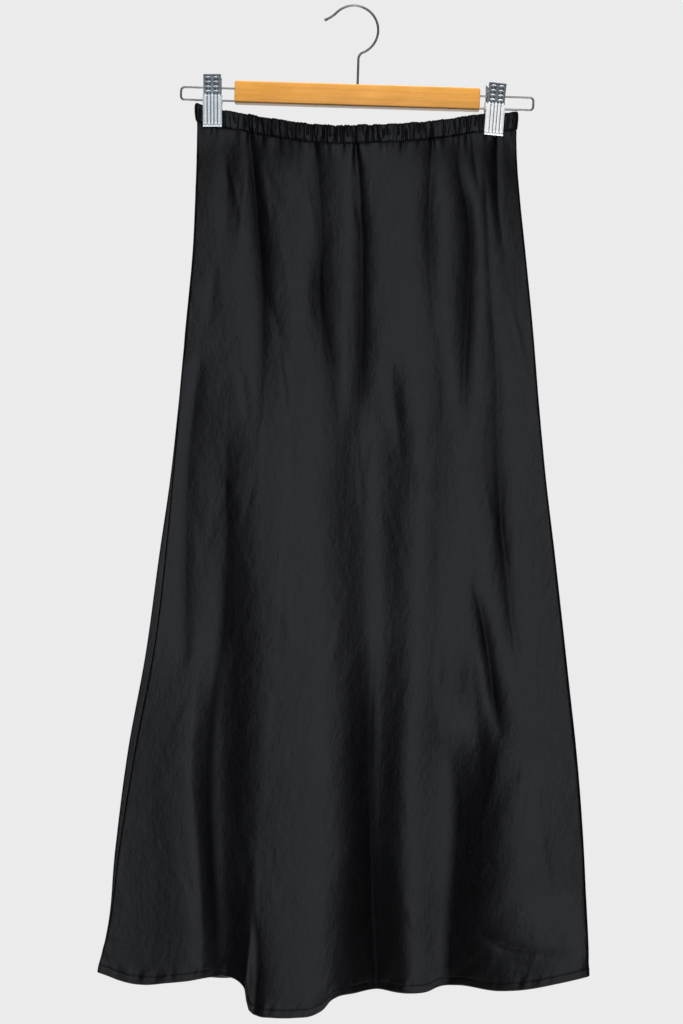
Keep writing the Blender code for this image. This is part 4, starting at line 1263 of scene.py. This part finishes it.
def creaseField(seed, across, down):
    width, length = detail["creasedCloth"]
    random = np.random.default_rng(seed)
    relief = 0.0 * across
    s, t = across * width, down * length
    for _ in range(detail["creases"]):
        s0 = random.uniform(0.03, 0.97) * width
        t0 = random.uniform(0.05, 0.98) * length
        turn = random.normal(0.0, detail["creaseTurn"])
        reach, thin = random.uniform(*detail["creaseReach"]), random.uniform(*detail["creaseThin"])
        height = random.choice([-1, 1]) * random.uniform(*detail["creaseHeight"]) * thin
        p = (t - t0) * math.cos(turn) + (s - s0) * math.sin(turn)
        q = (s - s0) * math.cos(turn) - (t - t0) * math.sin(turn)
        relief = relief + height * bell(p, reach) * bell(q, thin)
    return relief


def hemRelief(along, above):
    fromStitches = above - skirt["hemBand"]
    groove = grooved(fromStitches, *detail["hemGroove"])
    band = detail["hemBand"] * (1 - ease((fromStitches + detail["hemBandFrom"]) / detail["hemBandOver"]))
    pucker = puckered(21, along, fromStitches, *detail["hemPucker"])
    leaning = along - detail["hemDragLean"] * above
    drag = puckered(22, leaning, above - detail["hemDragUp"], *detail["hemDrag"])
    return groove + band + pucker + drag


def seamRelief(fromEdge, below):
    grows = detail["seamCalm"] + (1 - detail["seamCalm"]) * ease(below / detail["seamFull"])
    groove = grooved(fromEdge, *detail["seamGroove"])
    return groove + puckered(31, below, fromEdge, *detail["seamPucker"]) * grows


def turnedEdges(grid, uv, above):  # the top turned in behind the casing, and the hem turned in and up
    normal = gridNormals(grid)
    lift = np.array([0, 0, 1.0])
    turn = skirt["hemTurn"]
    top = [grid[:1] + lift * up - normal[:1] * deep for up, deep in skirt["waistTurn"]]
    band = range(1, int(np.sum(above[:, 0] < skirt["hemBand"] + skirt["hemLip"])) + 1)
    bottom = [grid[-1:] - lift * skirt["hemLip"] - normal[-1:] * turn / 2]
    bottom += [grid[-k:][:1] - normal[-k:][:1] * turn for k in band]
    inward = -np.concatenate([normal[:1]] * len(top) + [normal] + [normal[-1:]] * len(bottom))
    uv = np.concatenate([uv[:1]] * len(top) + [uv, uv[-1:]] + [uv[-k:][:1] for k in band])
    return np.concatenate([*top, grid, *bottom]), uv, inward * (1, 1, 0), len(top)


def sideAllowances(grid, uv, inward):  # the side seams' allowances, turned in
    sides = []
    for edge, near, way in ((0, 3, -1), (-1, -4, 1)):
        start = grid[:, edge]
        pull, toward = unit(inward[:, edge]), unit(grid[:, near] - start)
        depths, (most, lean) = skirt["allowance"], skirt["allowanceLean"]
        turned = np.stack([start + pull * d + toward * min(most, d * lean) for d in depths], 1)
        turnedUv = np.stack([uv[:, edge] + (way * d, 0, 0) for d in depths], 1)
        sides.append((turned[:, ::way], turnedUv[:, ::way]))
    (left, leftUv), (right, rightUv) = sides
    return np.concatenate([left, grid, right], 1), np.concatenate([leftUv, uv, rightUv], 1)


def buildPanel(name, isFront, gathers, seed, nodeName):
    rings = np.stack([panelRing(levelAt(down), isFront, skirt["columns"]) for down in rowShares])
    across, shadow, along = rings[..., 2], rings[..., 3], rings[..., 4]
    down = rowShares[:, None] + 0 * across
    top = waistTop(across) - skirt["casingHeight"]
    hem = hemHeight(across, isFront)
    grid = np.stack([rings[..., 0], rings[..., 1], top + (hem - top) * down], -1)
    below, above = (top - hem) * down, (top - hem) * (1 - down)
    # painted shade along the hem's stitches and under the casing
    even, uneven, step = detail["stitchShadeEvenness"]
    stitchShadeEvenness = detail["stitchShadeStrength"] * (even + uneven * wander(along, step, 41))
    shadow = np.maximum(shadow, stitchShadeEvenness * bell(above - skirt["hemBand"], detail["stitchShade"]))
    casingShadeReach = 1 + detail["casingShadeUneven"] * wander(along, detail["casingShadeStep"], 42)
    shadow = np.maximum(shadow, bell(below, detail["casingShadeReach"] * casingShadeReach))
    creased = creaseField(seed, across, down) * ease(below / detail["creasesFrom"])
    relief = waistTucks(gathers, across, below) + creased
    relief += hemRelief(along, above) + seamRelief(along, below) + seamRelief(along[:, -1:] - along, below)
    grid = grid + gridNormals(grid) * relief[..., None]
    grid, uv, inward, topRows = turnedEdges(grid, np.stack([along, -below, shadow], -1), above)
    grid, uv = sideAllowances(grid, uv, inward)
    piece = addShell(name, grid, skirt["cloth"], satin, uv)
    finished(piece, "satin", nodeName)
    arc = np.sum(np.hypot(*(np.diff(rings[..., axis]) for axis in (0, 1))), axis=1)
    print(name, "triangles", 2 * len(piece.data.polygons), "waist", arc[0].round(4), "hem", arc[-1].round(4))
    stitchRow = topRows + int(np.argmin(np.abs(above[:, above.shape[1] // 2] - skirt["hemBand"])))
    stitchLine = grid[stitchRow] + gridNormals(grid)[stitchRow] * detail["stitchLift"]
    stitchLine = stitchLine[detail["stitchEnds"]:-detail["stitchEnds"]]
    stitches = alongPath(name + "HemStitches", stitchLine, threadStitches, {
        "Pitch": detail["stitchPitch"], "Stitch Length": detail["stitchLength"],
        "Thread Radius": detail["threadRadius"], "Material": thread,
    })
    finished(stitches, "satin")
    return piece, stitches


casing = {
    "columns": 620,
    "halfThick": 0.00120,
    "puff": 0.0007,
    "puffStep": 0.006,
    "puffLean": 0.002,
    "clipGrip": 0.0115,  # the clips press it flat this far to each side
    "lipRises": 0.9,  # of the puffs, at the top edge
    "lipSinks": 0.7,  # of the gathers
    "lipReach": 0.10,  # down, in shares of the casing's height
    "footReach": 0.12,
    "gatherFades": 0.12,
    "footDrop": 0.0006,
    "footStep": 0.0075,
    "leastHalf": 0.0002,
}
Side = namedtuple("Side", "down out")  # shares of the casing's height and half thickness


def casingProfile():  # round the casing's section
    outer = [Side(1.0, 0.0), Side(0.995, 0.45), Side(0.975, 0.80)]
    outer += [Side(down, 1.0) for down in np.linspace(0.94, 0.12, 20)]
    outer += [Side(0.075, 0.96), Side(0.038, 0.80), Side(0.012, 0.50)]
    return outer + [Side(0.0, 0.0)] + [Side(down, -out) for down, out in outer[:0:-1]]


def casingLoop(ring, down, out, isFront, gathers):  # one line of points along the casing
    x, y, across, _, _ = ring.T
    flat = np.stack([x, y], -1)
    tangent = np.gradient(flat, axis=0)
    normal = unit(np.stack([tangent[:, 1], -tangent[:, 0]], -1))
    fades = casing["gatherFades"]
    free = 1 - np.max([np.exp(-(np.abs((x - at) / casing["clipGrip"]) ** 6)) for at in clipXs], axis=0)
    groove = 0.0 * x
    for g in gathers:
        shown = ease((down - g.high + fades) / fades) * ease((g.low + fades - down) / fades)
        groove += g.depth * shown * bell((across - g.across) * waistWide + g.slant * (down - 0.5), g.width)
    leaning = across * waistWide + casing["puffLean"] * down
    uneven = wander(leaning, casing["puffStep"], 5 if isFront else 6)
    puff = casing["puff"] * (1 + uneven) * free
    half = casing["halfThick"] + puff * math.sin(math.pi * down) ** 0.5 - groove
    half = out * np.maximum(half, casing["leastHalf"])
    lip, foot = math.exp(-down / casing["lipReach"]), math.exp(-(1 - down) / casing["footReach"])
    height = waistTop(across) - skirt["casingHeight"] * down
    height = height + lip * (casing["lipRises"] * puff - casing["lipSinks"] * groove)
    ripple = wander(across * waistWide, casing["footStep"], 7)
    height = height - foot * casing["footDrop"] * (1 + ripple)
    return np.column_stack([flat + normal * half[:, None], height])


def buildCasing(name, isFront, gathers, nodeName):
    seam = levelAt(0.0)
    along = panelRing(seam, isFront, casing["columns"])[:, 4]
    edge = seam._replace(left=casingLow.x / skirtLow.x, right=casingHigh.x / skirtHigh.x)
    loops = []
    for down, out in casingProfile():
        level = Level(*(a + (b - a) * down for a, b in zip(edge, seam)))
        ring = panelRing(level, isFront, casing["columns"])
        loops.append(casingLoop(ring, down, out, isFront, gathers))
    grid = np.stack(loops)
    rows, columns = grid.shape[:2]
    index = np.arange(rows * columns).reshape(rows, columns)
    index = np.concatenate([index, index[:1]])
    quads = np.stack([index[:-1, :-1], index[:-1, 1:], index[1:, 1:], index[1:, :-1]], -1).reshape(-1, 4)
    faces = quads.tolist() + [index[:-1, 0].tolist(), index[:-1, -1][::-1].tolist()]
    middle = grid[:, columns // 2]
    around = np.cumsum(np.linalg.norm(np.diff(middle, axis=0, prepend=middle[:1]), axis=1))
    uv = np.stack(np.broadcast_arrays(along[None], around[:, None]), -1)
    piece = addMesh(name, grid.reshape(-1, 3), faces, gatheredSatin, uv.reshape(-1, 2))
    shape = bmesh.new()
    shape.from_mesh(piece.data)
    bmesh.ops.recalc_face_normals(shape, faces=shape.faces)
    shape.to_mesh(piece.data)
    shape.free()
    finished(piece, "casing", nodeName)
    print(name, "triangles", 2 * len(piece.data.polygons))
    return piece


front, frontStitches = buildPanel("skirtFront", True, frontGathers, 11, "front_panel")
back, backStitches = buildPanel("skirtBack", False, backGathers, 12, "back_panel")
frontCasing = buildCasing("waistCasingFront", True, frontGathers, "waistband_front")
backCasing = buildCasing("waistCasingBack", False, backGathers, "waistband_back")
print("skirt built")


# floor, studio and camera

studio = {
    "backdrop": 0.832,
    "roomStrength": 1.3,
    # how bright the room is by direction, from -1 to 1: across and up, and across behind
    "across": (
        (-1.0, 0.01), (-0.60, 0.005), (-0.40, 0.005), (-0.30, 0.02), (-0.22, 0.12), (-0.12, 0.52),
        (0.02, 1.0), (0.14, 0.75), (0.27, 0.28), (0.40, 0.04), (0.60, 0.005), (1.0, 0.01),
    ),
    "up": (
        (-1.0, 0.15), (-0.60, 0.25), (-0.34, 0.70), (-0.25, 0.82), (-0.17, 0.96), (-0.10, 1.0),
        (0.11, 1.0), (0.16, 0.95), (0.20, 0.84), (0.40, 0.62), (0.75, 0.3), (1.0, 0.15),
    ),
    "behind": (
        (-1.0, 0.34), (-0.55, 0.20), (-0.30, 0.34), (-0.10, 0.85), (0.10, 1.0), (0.32, 0.42),
        (0.55, 0.20), (1.0, 0.34),
    ),
    "tint": (0.955, 0.990, 1.095),
    "lightAim": (0, 0, -0.5),
    "keyPower": 88,
    "rearPower": 50,
    "floorBelow": 0.32,
    "floorRadius": 0.9,
    "floorFades": (0.35, 0.98),  # shares of its radius
    "cameraAway": 1.8,
    "frameHigh": 1.024,
    "frameMiddle": (-0.013, -0.5052),
}


def buildFloor():
    radius = studio["floorRadius"]
    shape = bmesh.new()
    bmesh.ops.create_circle(shape, cap_ends=True, segments=96, radius=radius)
    floor = addObject("floor", meshOf("floor", shape))
    floor.location = (0, 0, cadBounds[0].z - studio["floorBelow"])
    made, tree, shader = newMaterial("paleFloor", {"Base Color": (0.52, 0.52, 0.52, 1), "Roughness": 0.7})
    place = addNode(tree, "ShaderNodeTexCoord")
    away = addNode(tree, "ShaderNodeVectorMath", operation="LENGTH")
    near, far = (share * radius for share in studio["floorFades"])
    fade = addNode(
        tree, "ShaderNodeMapRange", {"From Min": near, "From Max": far}, interpolation_type="SMOOTHSTEP",
    )
    clear = addNode(tree, "ShaderNodeBsdfTransparent")
    mix = addNode(tree, "ShaderNodeMixShader")
    linkAll(
        tree, (place, "Object", away, 0), (away, "Value", fade, "Value"), (fade, "Result", mix, "Fac"),
        (shader, "BSDF", mix, 1), (clear, "BSDF", mix, 2),
        (mix, "Shader", tree.nodes["Material Output"], "Surface"),
    )
    floor.data.materials.append(made)


def addLight(name, place, size, power):
    light = bpy.data.lights.new(name, "AREA")
    light.shape = "RECTANGLE"
    light.size, light.size_y = size
    light.energy = power
    made = addObject(name, light)
    made.location = place
    made.rotation_euler = (Vector(studio["lightAim"]) - Vector(place)).to_track_quat("-Z", "Y").to_euler()
    made.visible_glossy = False  # the room alone is mirrored in the satin


def roomRamp(tree, direction, axis, table, tint):
    share = addNode(tree, "ShaderNodeMapRange", {"From Min": -1.0, "From Max": 1.0})
    tree.links.new(direction.outputs[axis], share.inputs["Value"])
    stops = [((place + 1) / 2, tuple(strength * part for part in tint)) for place, strength in studio[table]]
    return ramped(tree, share.outputs["Result"], stops)


def buildRoom():
    world = bpy.data.worlds.new("studio")
    scene.world = world
    world.use_nodes = True
    tree = world.node_tree
    tree.nodes.clear()
    direction = addNode(tree, "ShaderNodeSeparateXYZ")
    tree.links.new(addNode(tree, "ShaderNodeTexCoord").outputs["Generated"], direction.inputs[0])
    across = roomRamp(tree, direction, "X", "across", studio["tint"])
    up = roomRamp(tree, direction, "Z", "up", (1, 1, 1))
    wall = addNode(tree, "ShaderNodeMapRange", {"From Min": 0.05, "From Max": 0.40})
    whole = addNode(tree, "ShaderNodeMix", data_type="RGBA")
    tree.links.new(multiplied(tree, across, up), whole.inputs["A"])
    tree.links.new(roomRamp(tree, direction, "X", "behind", (1, 1, 1)), whole.inputs["B"])
    seen = addNode(tree, "ShaderNodeBackground", {"Color": (1, 1, 1, 1), "Strength": studio["backdrop"]})
    lit = addNode(tree, "ShaderNodeBackground", {"Strength": studio["roomStrength"]})
    ray = addNode(tree, "ShaderNodeLightPath")
    mix = addNode(tree, "ShaderNodeMixShader")
    out = addNode(tree, "ShaderNodeOutputWorld")
    linkAll(
        tree, (direction, "Y", wall, "Value"), (wall, "Result", whole, "Factor"),
        (whole, "Result", lit, "Color"), (ray, "Is Camera Ray", mix, "Fac"), (lit, "Background", mix, 1),
        (seen, "Background", mix, 2), (mix, "Shader", out, "Surface"),
    )


def buildLights():
    for name, side in (("key", -1.5), ("fill", 1.6)):
        addLight(name, (side, -1.4, 2.0), (1.4, 1.4), studio["keyPower"])
    addLight("rear", (0.5, 2.2, 1.7), (1.4, 1.2), studio["rearPower"])
    scene.view_settings.view_transform = "Standard"


def buildCamera():
    data = bpy.data.cameras.new("camera")
    data.sensor_width = 36
    data.lens = data.sensor_width * studio["cameraAway"] / studio["frameHigh"]
    camera = addObject("camera", data)
    x, z = studio["frameMiddle"]
    camera.location = (x, -studio["cameraAway"], z)
    camera.rotation_euler = (math.pi / 2, 0, 0)
    scene.camera = camera


buildFloor()
buildRoom()
buildLights()
buildCamera()
print("studio and camera set")
